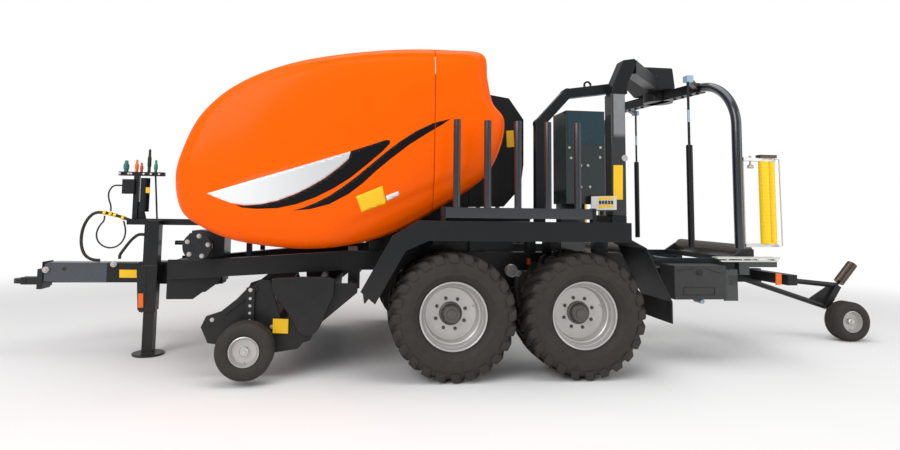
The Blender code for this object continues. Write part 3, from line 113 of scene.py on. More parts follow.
class Nodes(Tree):
    """A material with one principled shader."""

    def __init__(self, name):
        self.material = bpy.data.materials.new(name)
        super().__init__(self.material)
        self.shader = self.tree.nodes["Principled BSDF"]
        self.place = self.add("TexCoord").outputs["Object"]

    def noise(self, scale, detail=4.0, rough=0.6, distortion=0.0):
        node = self.add("TexNoise", {"Vector": self.place, "Scale": scale, "Detail": detail,
                                     "Roughness": rough, "Distortion": distortion})
        return node.outputs["Fac"]

    def math(self, operation, first, second=0.0, third=0.0, clamp=False):
        node = self.add("Math", operation=operation, use_clamp=clamp)
        for index, value in enumerate((first, second, third)):
            self.put(node.inputs[index], value)
        return node.outputs["Value"]

    def band(self, value, low, high):
        """0 below low, 1 above high, smooth between."""
        node = self.add("MapRange", {"Value": value, "From Min": low, "From Max": high},
                        interpolation_type="SMOOTHSTEP")
        return node.outputs["Result"]

    def mix(self, fac, first, second):
        node = self.add("Mix", data_type="RGBA")
        self.put(node.inputs["Factor"], fac)
        for name, value in (("A", first), ("B", second)):
            target = [item for item in node.inputs if item.name == name and item.type == "RGBA"][0]
            self.put(target, value if isinstance(value, bpy.types.NodeSocket) else (*value[:3], 1.0))
        return [item for item in node.outputs if item.type == "RGBA"][0]

    def bump(self, height, strength, distance=0.002):
        node = self.add("Bump", {"Height": height, "Strength": strength, "Distance": distance})
        self.put(self.shader.inputs["Normal"], node.outputs["Normal"])

    def edges(self, radius=0.004):
        """1 on edges and 0 on flat faces."""
        bevel = self.add("Bevel", {"Radius": radius}, samples=4)
        flat = self.add("NewGeometry")
        dot = self.add("VectorMath", {0: bevel.outputs["Normal"], 1: flat.outputs["Normal"]},
                       operation="DOT_PRODUCT")
        return self.math("SUBTRACT", 1.0, dot.outputs["Value"], clamp=True)

    def axes(self):
        return self.add("SeparateXYZ", {"Vector": self.place}).outputs

    def finish(self, colour, roughness, metallic=0.0, coat=0.0, coat_roughness=0.1, specular=0.5):
        for name, value in (("Base Color", colour), ("Roughness", roughness), ("Metallic", metallic),
                            ("Coat Weight", coat), ("Coat Roughness", coat_roughness),
                            ("Specular IOR Level", specular)):
            if name == "Base Color" and not isinstance(value, bpy.types.NodeSocket):
                value = (*value[:3], 1.0)
            self.put(self.shader.inputs[name], value)
        return self.material


def painted(name, colour, shade, roughness, coat=0.3, wear=0.35, dust=(0.20, 0.17, 0.13), grain=0.05,
            specular=0.5, dirt=0.30):
    """Sprayed paint with orange peel, dust towards the ground and rubbed edges."""
    n = Nodes(name)
    base = n.mix(n.math("MULTIPLY", n.noise(3.0, 5.0), 0.8), colour, shade)
    low = n.math("SUBTRACT", 1.1, n.axes()["Z"], clamp=True)
    film = n.math("MULTIPLY", n.math("MULTIPLY", low, n.noise(9.0, 6.0)), dirt)
    base = n.mix(film, base, dust)
    if wear:
        edge = n.math("MULTIPLY", n.edges(0.005), n.math("ADD", n.noise(35.0, 4.0), 0.2))
        base = n.mix(n.math("MULTIPLY", edge, wear, clamp=True), base, (0.30, 0.31, 0.33))
    rough = n.math("ADD", n.math("MULTIPLY", n.noise(60.0, 3.0), 0.18), roughness - 0.09)
    n.bump(n.noise(220.0, 2.0), grain, 0.001)
    return n.finish(base, rough, 0.0, coat, 0.12, specular)


def metal(name, colour, shade, roughness, metallic=0.9, stain=0.25):
    """Bare, plated or silver painted metal with stains."""
    n = Nodes(name)
    base = n.mix(n.noise(14.0, 5.0), colour, shade)
    base = n.mix(n.math("MULTIPLY", n.noise(45.0, 5.0), stain), base, (0.30, 0.27, 0.23))
    rough = n.math("ADD", n.math("MULTIPLY", n.noise(30.0, 4.0), 0.25), roughness - 0.1)
    n.bump(n.noise(150.0, 3.0), 0.06, 0.001)
    return n.finish(base, rough, metallic)


def rubber(name, scale=1.0):
    """Tyre rubber with dust on the flanks and fine rings."""
    n = Nodes(name)
    base = n.mix(n.noise(6.0, 5.0), (0.012, 0.011, 0.011), (0.030, 0.026, 0.024))
    base = n.mix(n.math("MULTIPLY", n.noise(18.0 * scale, 6.0), 0.42), base, (0.075, 0.058, 0.046))
    n.bump(n.noise(90.0 * scale, 4.0), 0.18, 0.002)
    return n.finish(base, n.math("ADD", n.math("MULTIPLY", n.noise(25.0), 0.2), 0.55), specular=0.35)


def plastic(name, colour, shade, roughness, grain=0.12, coat=0.0):
    """Moulded plastic with a fine grain."""
    n = Nodes(name)
    base = n.mix(n.noise(8.0, 4.0), colour, shade)
    n.bump(n.noise(260.0, 2.0), grain, 0.0008)
    return n.finish(base, n.math("ADD", n.math("MULTIPLY", n.noise(40.0), 0.15), roughness - 0.07), 0.0, coat)


def sleeve_yellow():
    """Yellow roller sleeves with turned rings."""
    n = Nodes("yellow_sleeves")
    wave = n.add("TexWave", {"Vector": n.place, "Scale": 9.0, "Distortion": 1.2, "Detail": 2.0},
                 bands_direction="Z")
    base = n.mix(n.math("MULTIPLY", wave.outputs["Fac"], 0.16), (1.0, 0.66, 0.0), (0.86, 0.46, 0.0))
    n.bump(wave.outputs["Fac"], 0.03, 0.001)
    return n.finish(base, 0.40)


def column_with_painted_highlight():
    """Black paint with a painted highlight: lighter grey on the upper part of its side faces."""
    n = Nodes("column_paint_with_painted_highlight")
    height = n.axes()["Z"]
    side = n.axes()["X"]
    black = n.mix(n.noise(3.0, 5.0), (0.016, 0.017, 0.019), (0.018, 0.019, 0.021))
    # Lighter grey of the painted highlight
    zinc = n.mix(n.noise(12.0, 6.0), (0.30, 0.31, 0.32), (0.20, 0.21, 0.22))
    # Where the painted highlight lies: upper part of the column, side faces only
    share = n.math("MULTIPLY", n.band(height, 2.10, 2.16), n.band(side, 1.05, 1.06))
    share = n.math("MULTIPLY", share, n.math("SUBTRACT", 1.0, n.band(side, 1.16, 1.17)))
    base = n.mix(n.math("MULTIPLY", share, 0.8), black, zinc)
    edge = n.math("MULTIPLY", n.edges(0.006), n.noise(35.0, 4.0))
    base = n.mix(n.math("MULTIPLY", edge, 0.8, clamp=True), base, (0.42, 0.43, 0.45))
    n.bump(n.noise(180.0, 2.0), 0.05, 0.001)
    return n.finish(base, 0.36, 0.0, 0.35, 0.15)


def roof_paint():
    """Orange roof on black uprights."""
    n = Nodes("roof_paint")
    upright = n.math("SUBTRACT", 1.0, n.band(n.axes()["Z"], 2.150, 2.155))
    base = n.mix(n.noise(3.0, 5.0), (1.0, 0.122, 0.0), (0.97, 0.108, 0.0))
    base = n.mix(upright, base, (0.010, 0.011, 0.013))
    n.bump(n.noise(220.0, 2.0), 0.015, 0.001)
    return n.finish(base, 0.28, 0.0, 0.07, 0.12, 0.06)


def leaf_silver():
    """Brushed silver film that darkens towards its rear."""
    n = Nodes("silver_film")
    along = n.band(n.axes()["X"], -2.6, -1.3)
    base = n.mix(along, (0.90, 0.91, 0.92), (0.62, 0.64, 0.66))
    base = n.mix(n.math("MULTIPLY", n.noise(120.0, 3.0), 0.12), base, (0.45, 0.46, 0.48))
    n.bump(n.noise(300.0, 2.0), 0.03, 0.0005)
    return n.finish(base, 0.30, 0.25, 0.3, 0.1)


ORANGE = painted("orange_paint", (1.0, 0.122, 0.0), (0.97, 0.108, 0.0), 0.28, coat=0.07, wear=0.0,
                 dust=(0.86, 0.15, 0.012), grain=0.015, specular=0.06, dirt=0.25)
BLACK = painted("black_paint", (0.007, 0.008, 0.010), (0.013, 0.014, 0.016), 0.36, coat=0.08,
                specular=0.22, dirt=0.16)
GREY = painted("dark_grey_paint", (0.012, 0.014, 0.017), (0.022, 0.024, 0.028), 0.36, coat=0.10,
               specular=0.25, dirt=0.18)
BLUE_GREY = painted("bluish_black_paint", (0.022, 0.032, 0.045), (0.036, 0.048, 0.064), 0.26, coat=0.6)
GLOSS = painted("gloss_black_paint", (0.008, 0.011, 0.016), (0.016, 0.021, 0.028), 0.18, coat=0.8, wear=0.15)
GREEN_BLACK = painted("greenish_black_paint", (0.008, 0.016, 0.016), (0.014, 0.024, 0.024), 0.22, coat=0.7)
PALE_BLUE = painted("pale_blue_paint", (0.33, 0.48, 0.62), (0.26, 0.40, 0.54), 0.35, coat=0.3, wear=0.1)
ZINC = metal("zinc_plated_steel", (0.72, 0.72, 0.70), (0.55, 0.55, 0.54), 0.36)
SILVER = metal("silver_rim_paint", (0.62, 0.60, 0.59), (0.50, 0.48, 0.47), 0.34, 0.45, 0.18)
DARK_STEEL = metal("dark_steel", (0.13, 0.12, 0.11), (0.08, 0.08, 0.08), 0.40, 0.7)
BROWN_STEEL = metal("brown_chrome", (0.10, 0.070, 0.055), (0.05, 0.038, 0.032), 0.22, 0.85, 0.1)
PALE = metal("pale_galvanised", (0.82, 0.82, 0.78), (0.66, 0.66, 0.62), 0.40, 0.4, 0.15)
RUBBER = rubber("tyre_rubber")
HOSE = rubber("hose_rubber", 3.0)
YELLOW = sleeve_yellow()
COLUMN = column_with_painted_highlight()
SILVER_FILM = leaf_silver()
PLASTIC = plastic("black_plastic", (0.022, 0.023, 0.025), (0.036, 0.036, 0.037), 0.50)
LAMP = plastic("orange_lamp", (0.95, 0.17, 0.0), (0.80, 0.11, 0.0), 0.22, 0.05, 0.1)
LABEL = plastic("yellow_label", (1.0, 0.60, 0.0), (0.95, 0.53, 0.0), 0.40, 0.02, 0.05)
WHITE = plastic("white_label", (0.85, 0.84, 0.86), (0.75, 0.74, 0.76), 0.35, 0.02, 0.2)
BLACK_FILM = painted("black_film", (0.004, 0.004, 0.005), (0.006, 0.006, 0.007), 0.34, coat=0.03, wear=0.0,
                     grain=0.01, specular=0.12, dirt=0.0)
DOOR = plastic("door_paint", (0.006, 0.035, 0.052), (0.004, 0.024, 0.038), 0.25, 0.03, 0.3)
GREEN = plastic("green_cap", (0.02, 0.30, 0.12), (0.015, 0.22, 0.08), 0.35)
TEAL = plastic("teal_cap", (0.03, 0.20, 0.19), (0.02, 0.14, 0.13), 0.35)
RED = plastic("red_cap", (0.62, 0.09, 0.02), (0.50, 0.06, 0.015), 0.35)
SLOTS = {"painted_black": BLACK, "painted_grey": GREY, "painted_orange": ORANGE, "painted_silver": SILVER,
         "zinc": ZINC, "tyre": RUBBER, "yellow_plastic": YELLOW, "black_plastic": PLASTIC}
# Nodes that look different from their slot
OVERRIDES = {"jack_leg": BLACK, "table_roller_front": DARK_STEEL, "table_roller_rear": DARK_STEEL,
             "film_rack_left": GLOSS, "film_rack_right": GLOSS, "cabinet": GREEN_BLACK,
             "turner_roller": BROWN_STEEL, "pickup_reel": DARK_STEEL, "roof_cover": roof_paint()}
WELD_DISTANCE = 0.00005
NODE_BEVEL = 0.003


def round_edges(item, width, degrees):
    """Small bevels on edges sharper than an angle."""
    bevel = item.modifiers.new("edges", "BEVEL")
    bevel.width = width
    bevel.segments = 2
    bevel.limit_method = "ANGLE"
    bevel.angle_limit = math.radians(degrees)


def dress_nodes():
    """Give every CAD node its material, welded corners and small bevels."""
    slots = {part["node"]: part["material_slot"] for part in frame["record"]["subparts"]}
    for name, item in NODES.items():
        item.data.materials.clear()
        item.data.materials.append(OVERRIDES.get(name) or SLOTS[slots[name]])
        item.modifiers.new("weld", "WELD").merge_threshold = WELD_DISTANCE
        round_edges(item, NODE_BEVEL, 30)


dress_nodes()


# Shapes
def through(points, steps, closed):
    """Smooth curve through points."""
    count = len(points)
    result = []
    for index in range(count if closed else count - 1):
        near = []
        for shift in (-1, 0, 1, 2):
            place = (index + shift) % count if closed else min(max(index + shift, 0), count - 1)
            near.append(Vector(points[place]))
        before, start, end, after = near
        for step in range(steps):
            t = step / steps
            result.append(0.5 * (2 * start + (end - before) * t
                                 + (2 * before - 5 * start + 4 * end - after) * t ** 2
                                 + (3 * start - before - 3 * end + after) * t ** 3))
    if not closed:
        result.append(Vector(points[-1]))
    return result


def around(centre, radius, degrees):
    """Place in a plane at a radius and an angle about a centre."""
    way = math.radians(degrees)
    return centre[0] + radius * math.cos(way), centre[1] + radius * math.sin(way)


def skin(bm, rings, loop=False, caps=False):
    """Faces from ring to ring; a ring of one corner closes to a point."""
    steps = max(len(ring) for ring in rings)
    for ring, following in zip(rings, rings[1:] + (rings[:1] if loop else [])):
        for index in range(steps):
            after = (index + 1) % steps
            corners = (ring[index % len(ring)], ring[after % len(ring)],
                       following[after % len(following)], following[index % len(following)])
            corners = list(dict.fromkeys(corners))
            if len(corners) > 2:
                bm.faces.new(corners)
    if caps:
        bm.faces.new(rings[0][::-1])
        bm.faces.new(rings[-1])


class Shape:
    """Closed solids gathered in one mesh."""

    def __init__(self, bm=None):
        self.bm = bmesh.new() if bm is None else bm

    def box(self, xs, ys, zs):
        low = Vector((min(xs), min(ys), min(zs)))
        high = Vector((max(xs), max(ys), max(zs)))
        made = bmesh.ops.create_cube(self.bm, size=1.0)["verts"]
        bmesh.ops.scale(self.bm, vec=high - low, verts=made)
        bmesh.ops.translate(self.bm, vec=(high + low) / 2, verts=made)
        return self

    def bar(self, start, end, width, height):
        start, end = Vector(start), Vector(end)
        way = (end - start).normalized()
        guide = Vector((0, 0, 1)) if abs(way.z) < 0.99 else Vector((1, 0, 0))
        across = guide.cross(way).normalized()
        turn = Matrix((across, way.cross(across), way)).transposed().to_4x4()
        made = bmesh.ops.create_cube(self.bm, size=1.0)["verts"]
        bmesh.ops.scale(self.bm, vec=(width, height, (end - start).length), verts=made)
        bmesh.ops.transform(self.bm, matrix=Matrix.Translation((start + end) / 2) @ turn, verts=made)
        return self

    def lathe(self, profile, origin, axis, steps=24, loop=False, turn=0.0):
        """Turned solid; its profile lists radius and distance along the axis."""
        axis = Vector(axis).normalized()
        side = axis.orthogonal().normalized()
        other = axis.cross(side)
        rings = []
        for radius, along in profile:
            centre = Vector(origin) + axis * along
            if radius < 1e-9:
                rings.append([self.bm.verts.new(centre)])
                continue
            angles = [2 * math.pi * step / steps + turn for step in range(steps)]
            rings.append([self.bm.verts.new(centre + (side * math.cos(a) + other * math.sin(a)) * radius)
                          for a in angles])
        skin(self.bm, rings, loop)
        return self

    def rod(self, start, end, radius, steps=14, tip=None):
        start, end = Vector(start), Vector(end)
        length = (end - start).length
        return self.lathe([(0, 0), (radius, 0), (radius if tip is None else tip, length), (0, length)],
                          start, end - start, steps)

    def tube(self, points, radius, steps=10):
        """Round bar along points."""
        points = [Vector(point) for point in points]
        ways = [(after - before).normalized() for before, after in
                zip([points[0]] + points[:-1], points[1:] + [points[-1]])]
        side = ways[0].orthogonal().normalized()
        rings = []
        for point, way in zip(points, ways):
            side = (side - way * side.dot(way)).normalized()
            other = way.cross(side)
            rings.append([self.bm.verts.new(point + (side * math.cos(2 * math.pi * step / steps)
                                                     + other * math.sin(2 * math.pi * step / steps)) * radius)
                          for step in range(steps)])
        skin(self.bm, rings, caps=True)
        return self

    def slab(self, outline, y0, y1):
        """Plate with an outline in X and Z."""
        near = [self.bm.verts.new((x, y0, z)) for x, z in outline]
        far = [self.bm.verts.new((x, y1, z)) for x, z in outline]
        self.bm.faces.new(near)
        self.bm.faces.new(far[::-1])
        for index in range(len(outline)):
            after = (index + 1) % len(outline)
            self.bm.faces.new((near[index], far[index], far[after], near[after]))
        return self

    def bolt(self, place, axis, radius):
        """Washer and hexagon head."""
        place, axis = Vector(place), Vector(axis).normalized()
        self.lathe([(0, -0.002), (1.35 * radius, -0.002), (1.35 * radius, 0.2 * radius), (0, 0.2 * radius)],
                   place, axis, 12)
        return self.lathe([(0, 0), (radius, 0), (radius, 0.75 * radius), (0.85 * radius, 0.9 * radius),
                           (0, 0.9 * radius)], place, axis, 6)

    def done(self, name, material, body="chassis", slot="painted_black", replaces=(), smooth=35, bevel=0.0):
        """Make the piece, its material and what it rides on."""
        bmesh.ops.recalc_face_normals(self.bm, faces=self.bm.faces[:])
        mesh = bpy.data.meshes.new(name)
        self.bm.to_mesh(mesh)
        self.bm.free()
        mesh.materials.append(material)
        mesh.shade_smooth()
        mesh.set_sharp_from_angle(angle=math.radians(smooth))
        item = bpy.data.objects.new(name, mesh)
        bpy.context.scene.collection.objects.link(item)
        if bevel:
            round_edges(item, bevel, 35)
        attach(item, body)
        if replaces:
            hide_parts(*replaces)
        return item


# Hoses and cables of the drawbar, in X and Z at one Y
HOSE_Y = -0.02
FRONT_ROUTE = [(-3.5503, 1.272), (-3.600, 1.290), (-3.660, 1.310), (-3.720, 1.328), (-3.780, 1.341),
               (-3.8403, 1.347), (-3.875, 1.345), (-3.908, 1.332), (-3.938, 1.305), (-3.963, 1.270),
               (-3.983, 1.228), (-3.998, 1.180), (-4.006, 1.128), (-4.008, 1.075), (-4.003, 1.022),
               (-3.990, 0.973), (-3.968, 0.930), (-3.938, 0.900), (-3.900, 0.881), (-3.860, 0.873),
               (-3.8203, 0.871)]
LOWER_ROUTE = [(-3.4103, 1.130), (-3.430, 1.130), (-3.455, 1.130), (-3.482, 1.118), (-3.508, 1.097),
               (-3.532, 1.072), (-3.555, 1.043), (-3.577, 1.012), (-3.598, 0.980), (-3.618, 0.950),
               (-3.633, 0.920), (-3.633, 0.8853)]
BOX_ROUTE = [(-3.6353, 1.620), (-3.665, 1.622), (-3.695, 1.622), (-3.717, 1.620), (-3.739, 1.609),
             (-3.756, 1.587), (-3.768, 1.562), (-3.773, 1.534), (-3.772, 1.506), (-3.766, 1.478),
             (-3.757, 1.450), (-3.748, 1.424), (-3.744, 1.398), (-3.743, 1.3603)]
LOOP_ROUTE = [(-3.800, 1.3147), (-3.800, 1.280), (-3.813, 1.250), (-3.838, 1.218), (-3.856, 1.180),
              (-3.866, 1.140), (-3.863, 1.098), (-3.846, 1.058), (-3.815, 1.025), (-3.775, 1.003),
              (-3.730, 0.995), (-3.685, 1.003), (-3.645, 1.027), (-3.615, 1.063), (-3.597, 1.107),
              (-3.592, 1.155), (-3.597, 1.200), (-3.606, 1.232), (-3.614, 1.2647)]
HOSE_DIAMETER = 0.030
CABLE_DIAMETER = 0.016
CORDS = [("hose_front", FRONT_ROUTE, HOSE_DIAMETER), ("hose_lower", LOWER_ROUTE, HOSE_DIAMETER),
         ("cable_box", BOX_ROUTE, CABLE_DIAMETER), ("cable_loop", LOOP_ROUTE, CABLE_DIAMETER)]


def make_cords():
    """Each hose or cable as one curve."""
    for name, route, diameter in CORDS:
        places = through([Vector((x, HOSE_Y, z)) for x, z in route], 2, False)
        curve = bpy.data.curves.new(name + "_line", "CURVE")
        curve.dimensions = "3D"
        curve.bevel_depth = diameter / 2
        curve.bevel_resolution = 4
        curve.use_fill_caps = True
        spline = curve.splines.new("POLY")
        spline.points.add(len(places) - 1)
        for point, place in zip(spline.points, places):
            point.co = (*place, 1.0)
        curve.materials.append(HOSE)
        item = bpy.data.objects.new(name + "_line", curve)
        bpy.context.scene.collection.objects.link(item)
        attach(item, "chassis")


make_cords()

# Side hoods
HOOD_NOSE_X = -2.86
HOOD_LENGTH = 2.92
HOOD_BOTTOM_Z = 1.06
HOOD_HEIGHT = 1.84
HOOD_INNER_Y = 0.7905
HOOD_OUTER_Y = 1.18
HOOD_WALL = 0.012
HOOD_SPLIT_X = -0.62
HOOD_SPLIT_GAP = 0.006
HOOD_OUTLINE_SHARES = [(0.000, 0.34), (0.018, 0.185), (0.075, 0.105), (0.185, 0.035), (0.37, 0.0),
                       (0.52, 0.02), (0.66, 0.085), (0.80, 0.21), (0.93, 0.35), (0.985, 0.50), (1.0, 0.65),
                       (0.962, 0.74), (0.945, 0.86), (0.93, 0.985), (0.83, 1.0), (0.69, 0.995), (0.54, 0.97),
                       (0.40, 0.93), (0.30, 0.885), (0.205, 0.82), (0.125, 0.735), (0.06, 0.62), (0.02, 0.48)]
# Each ring of the hood: inset towards its middle, and depth from its inner edge to its outer face
HOOD_RING_SHARES = [(0.0, 0.0), (0.0, 0.46), (0.012, 0.66), (0.045, 0.80), (0.11, 0.895), (0.22, 0.955),
                    (0.42, 1.0), (0.68, 1.01), (0.90, 1.012)]
# Lines of the hood's creases, each from front to rear in pixels of the picture
LEAF_CREASE = ((206.0, 193.4), (390.0, 140.0))
LOW_CREASE = ((330.0, 229.0), (452.0, 174.6))


def ease(value, low, high):
    """0 below low, 1 above high, smooth between."""
    t = min(max((value - low) / (high - low), 0.0), 1.0)
    return t * t * (3 - 2 * t)


def beside(place, line):
    """Share along a line, and height above it."""
    start, end = (Vector(on_plane(px, py, -HOOD_OUTER_Y)) for px, py in line)
    way = end - start
    offset = Vector(place) - start
    return offset.dot(way) / way.length_squared, (way.x * offset.y - way.y * offset.x) / way.length


def relief(x, z, inset):
    """How far the hood's face stands out at a place."""
    top = ease(z, 2.05, 2.5) * math.exp(-((inset - 0.085) / 0.018) ** 2)
    valley = ease(z, 1.95, 2.4) * math.exp(-((inset - 0.135) / 0.035) ** 2)
    along, above = beside((x, z), LEAF_CREASE)
    leaf = ease(along, -0.05, 0.30) * (1 - ease(along, 0.95, 1.25)) * (1 - ease(above, -0.025, 0.045))
    leaf *= math.exp(min(above, 0.0) / 0.30)
    along, above = beside((x, z), LOW_CREASE)
    low = ease(along, -0.1, 0.35) * (1 - ease(above, -0.05, 0.03)) * (1 - ease(along, 1.0, 1.3))
    return (0.007 * top - 0.004 * valley + 0.012 * leaf - 0.016 * low) * ease(inset, 0.01, 0.06)


def hood_face(side):
    """Whole outer face of a side hood, open towards the machine."""
    outline = [Vector((HOOD_NOSE_X + u * HOOD_LENGTH, HOOD_BOTTOM_Z + v * HOOD_HEIGHT))
               for u, v in through(HOOD_OUTLINE_SHARES, 8, True)]
    middle = Vector((HOOD_NOSE_X + 0.5 * HOOD_LENGTH, HOOD_BOTTOM_Z + 0.55 * HOOD_HEIGHT))
    depth = HOOD_OUTER_Y - HOOD_INNER_Y
    bm = bmesh.new()
    rings = []
    for inset, share in through(HOOD_RING_SHARES, 6, False):
        ring = []
        for point in outline:
            place = middle + (point - middle) * (1 - inset)
            out = HOOD_INNER_Y + share * depth + relief(place.x, place.y, inset)
            ring.append(bm.verts.new((place.x, side * out, place.y)))
        rings.append(ring)
    skin(bm, rings)
    bm.faces.new(rings[-1])
    bmesh.ops.recalc_face_normals(bm, faces=bm.faces[:])
    if sum(face.normal.y * face.calc_area() for face in bm.faces) * side < 0:
        bmesh.ops.reverse_faces(bm, faces=bm.faces[:])
    return bm


def cut(bm, place, way, keep="both"):
    """Cut a mesh by a plane and keep both sides of it, or one."""
    bmesh.ops.bisect_plane(bm, geom=bm.verts[:] + bm.edges[:] + bm.faces[:], plane_co=place, plane_no=way,
                           clear_outer=keep == "front", clear_inner=keep == "rear")


def give_wall(item, side, thickness):
    """Turn the faces away from the machine and give them a wall behind."""
    if sum(face.normal.y * face.area for face in item.data.polygons) * side < 0:
        item.data.flip_normals()
    wall = item.modifiers.new("wall", "SOLIDIFY")
    wall.thickness = thickness
    wall.offset = -1


def hood_parts(label, gap=0.0):
    """Opening and fixed part: name, short name, body, X of the cut, side of the cut that it keeps."""
    return (("hood", "", "side_hood_" + label, HOOD_SPLIT_X - gap, "front"),
            ("rear_cover", "_rear", "chassis", HOOD_SPLIT_X + HOOD_SPLIT_GAP + gap, "rear"))


# Rods and flanges that carry the fixed part
CARRIER_X = -0.45
CARRIER_ZS = (1.90, 2.25)
CARRIER_Y = (0.635, HOOD_OUTER_Y - 0.02)
CARRIER_RADIUS = 0.025
FLANGE_Y = (0.638, 0.650)
RIM_BEVEL = 0.004


def make_hoods():
    """Smooth side hoods: an opening front part and a fixed rear part on each side."""
    trees = {}
    for label, side in SIDES:
        whole = hood_face(side)
        trees[side] = BVHTree.FromBMesh(whole)
        whole.free()
        for name, _, body, split, keep in hood_parts(label):
            bm = hood_face(side)
            cut(bm, (split, 0, 0), (1, 0, 0), keep)
            item = Shape(bm).done("%s_shell_%s" % (name, label), ORANGE, body, "painted_orange",
                                  ["%s_%s" % (name, label)], 50)
            give_wall(item, side, HOOD_WALL)
            round_edges(item, RIM_BEVEL, 60)
        carriers = Shape()
        for z in CARRIER_ZS:
            for ys, radius in ((CARRIER_Y, CARRIER_RADIUS), (FLANGE_Y, 2 * CARRIER_RADIUS)):
                carriers.rod(*((CARRIER_X, side * y, z) for y in ys), radius)
        carriers.done("cover_carriers_" + label, BLACK)
    return trees


FACES = make_hoods()

# Outlines on the left hood, in pixels of the picture
LEAF = [(206.2, 193.4), (244.4, 182.3), (291.6, 168.7), (350.6, 151.4), (348.7, 158.8), (338.8, 167.5),
        (324.6, 178.1), (310.5, 186.4), (296.3, 193.4), (277.4, 200.5), (260.9, 204.1), (244.4, 205.2),
        (230.2, 202.9), (218.4, 198.6)]
BAND = [(234.9, 204.8), (244.4, 205.7), (260.9, 204.5), (277.4, 201.0), (296.3, 193.9), (310.5, 186.8),
        (324.6, 178.6), (338.8, 168.0), (348.7, 159.2), (351.0, 151.2), (374.2, 143.9), (386.0, 139.9),
        (390.2, 140.6), (389.5, 143.9), (382.4, 151.4), (367.1, 164.4), (350.6, 177.6), (334.1, 188.0),
        (315.2, 197.4), (296.3, 204.1), (277.4, 208.1), (256.2, 208.8), (242.0, 207.6)]
STRIPE = [(292.3, 210.7), (303.4, 207.6), (315.2, 202.9), (329.3, 195.8), (343.5, 186.4), (357.7, 175.7),
          (371.8, 163.9), (386.0, 152.1), (400.1, 141.5), (416.6, 130.9), (433.2, 123.1), (450.9, 118.6),
          (442.6, 124.3), (428.4, 132.6), (409.6, 144.4), (390.7, 158.8), (376.5, 170.5), (362.4, 183.5),
          (348.2, 194.1), (329.3, 204.1), (310.5, 209.0)]
HOOD_LABEL = [(356.0, 196.5), (382.4, 185.9), (386.7, 203.6), (361.7, 212.3)]
SMALL_LABEL = [(386.0, 195.8), (398.2, 191.1), (399.7, 195.1), (387.1, 201.2)]
FILM_CELL = 0.025
FILM_LIFT = 0.0012
FILM_WALL = 0.8 * FILM_LIFT
FILM_SPLIT_GAP = 0.001


def film(name, outline, material, lift=FILM_LIFT):
    """Thin film that follows the hood's face, on both sides and on both parts of it."""
    places = [on_plane(px, py, -HOOD_OUTER_Y) for px, py in outline]
    xs, zs = zip(*places)
    for label, side in SIDES:
        for _, part, body, split, keep in hood_parts(label, FILM_SPLIT_GAP):
            bm = bmesh.new()
            bm.faces.new([bm.verts.new((x, 0, z)) for x, z in places])
            cut(bm, (split, 0, 0), (1, 0, 0), keep)
            if not bm.faces:
                bm.free()
                continue
            for values, way in ((xs, Vector((1, 0, 0))), (zs, Vector((0, 0, 1)))):
                for number in range(1, int((max(values) - min(values)) / FILM_CELL) + 1):
                    cut(bm, way * (min(values) + number * FILM_CELL), way)
            bmesh.ops.triangulate(bm, faces=bm.faces[:])
            for vert in bm.verts:
                hit = FACES[side].ray_cast(Vector((vert.co.x, side * 3, vert.co.z)), Vector((0, -side, 0)))
                vert.co.y = hit[0].y + side * lift
            item = Shape(bm).done("%s_%s%s" % (name, label, part), material, body, "painted_orange", (), 60)
            give_wall(item, side, FILM_WALL)


film("leaf_film", LEAF, SILVER_FILM)
film("band_film", BAND, BLACK_FILM, 1.3 * FILM_LIFT)
film("stripe_film", STRIPE, BLACK_FILM)
film("hood_label", HOOD_LABEL, LABEL)
film("small_hood_label", SMALL_LABEL, WHITE)

# Wheels
WHEEL_Y = 1.19
WHEEL_XS = (("front", -0.47), ("rear", 0.67))
TYRE_RADIUS = 0.535
TYRE_HALF = 0.272
# Half profile of the tyre from bead to crown: radius, share of the half width
TYRE_PROFILE = [(0.288, 0.72), (0.300, 0.80), (0.325, 0.91), (0.345, 0.955), (0.349, 0.975), (0.356, 0.972),
                (0.380, 0.995), (0.415, 1.0), (0.450, 0.985), (0.480, 0.945), (0.498, 0.87), (0.506, 0.72),
                (0.509, 0.40), (0.510, 0.0)]
LUGS = 24
# Stations of a lug, shoulder to crown: share of the half width, top and base radius, half width of its top
LUG_STATIONS = [(1.00, 0.478, 0.450, 0.030), (0.975, 0.512, 0.470, 0.031), (0.90, 0.529, 0.485, 0.031),
                (0.66, 0.534, 0.495, 0.027), (0.34, 0.535, 0.500, 0.024), (0.04, 0.535, 0.502, 0.020)]
LUG_SWEEP = 0.30
LUG_HALF = TYRE_HALF + 0.002
# Profile of the rim: radius, distance outwards from the wheel's middle
RIM_PROFILE = [(0.2875, 0.200), (0.289, 0.210), (0.283, 0.2125), (0.274, 0.208), (0.270, 0.196),
               (0.266, 0.178),
               (0.255, 0.165), (0.251, 0.135), (0.246, 0.120), (0.236, 0.112), (0.231, 0.085), (0.228, 0.060),
               (0.219, 0.048), (0.200, 0.042), (0.150, 0.040), (0.060, 0.040), (0.060, 0.024), (0.190, 0.024),
               (0.214, 0.015), (0.224, -0.030), (0.240, -0.070), (0.250, -0.120), (0.262, -0.180),
               (0.274, -0.208), (0.288, -0.212), (0.2875, -0.190), (0.270, -0.170), (0.262, -0.100),
               (0.262, 0.100), (0.270, 0.180)]
HUB_PROFILE = [(0, -0.09), (0.10, -0.09), (0.10, 0.046), (0.098, 0.055), (0.086, 0.060), (0.080, 0.070),
               (0.076, 0.098), (0.068, 0.106), (0.045, 0.108), (0.042, 0.116), (0.030, 0.119), (0, 0.120)]
VALVE = ((0.19, 0.040, 0.06), (0.205, 0.085, 0.064))
VALVE_RADIUS = 0.005
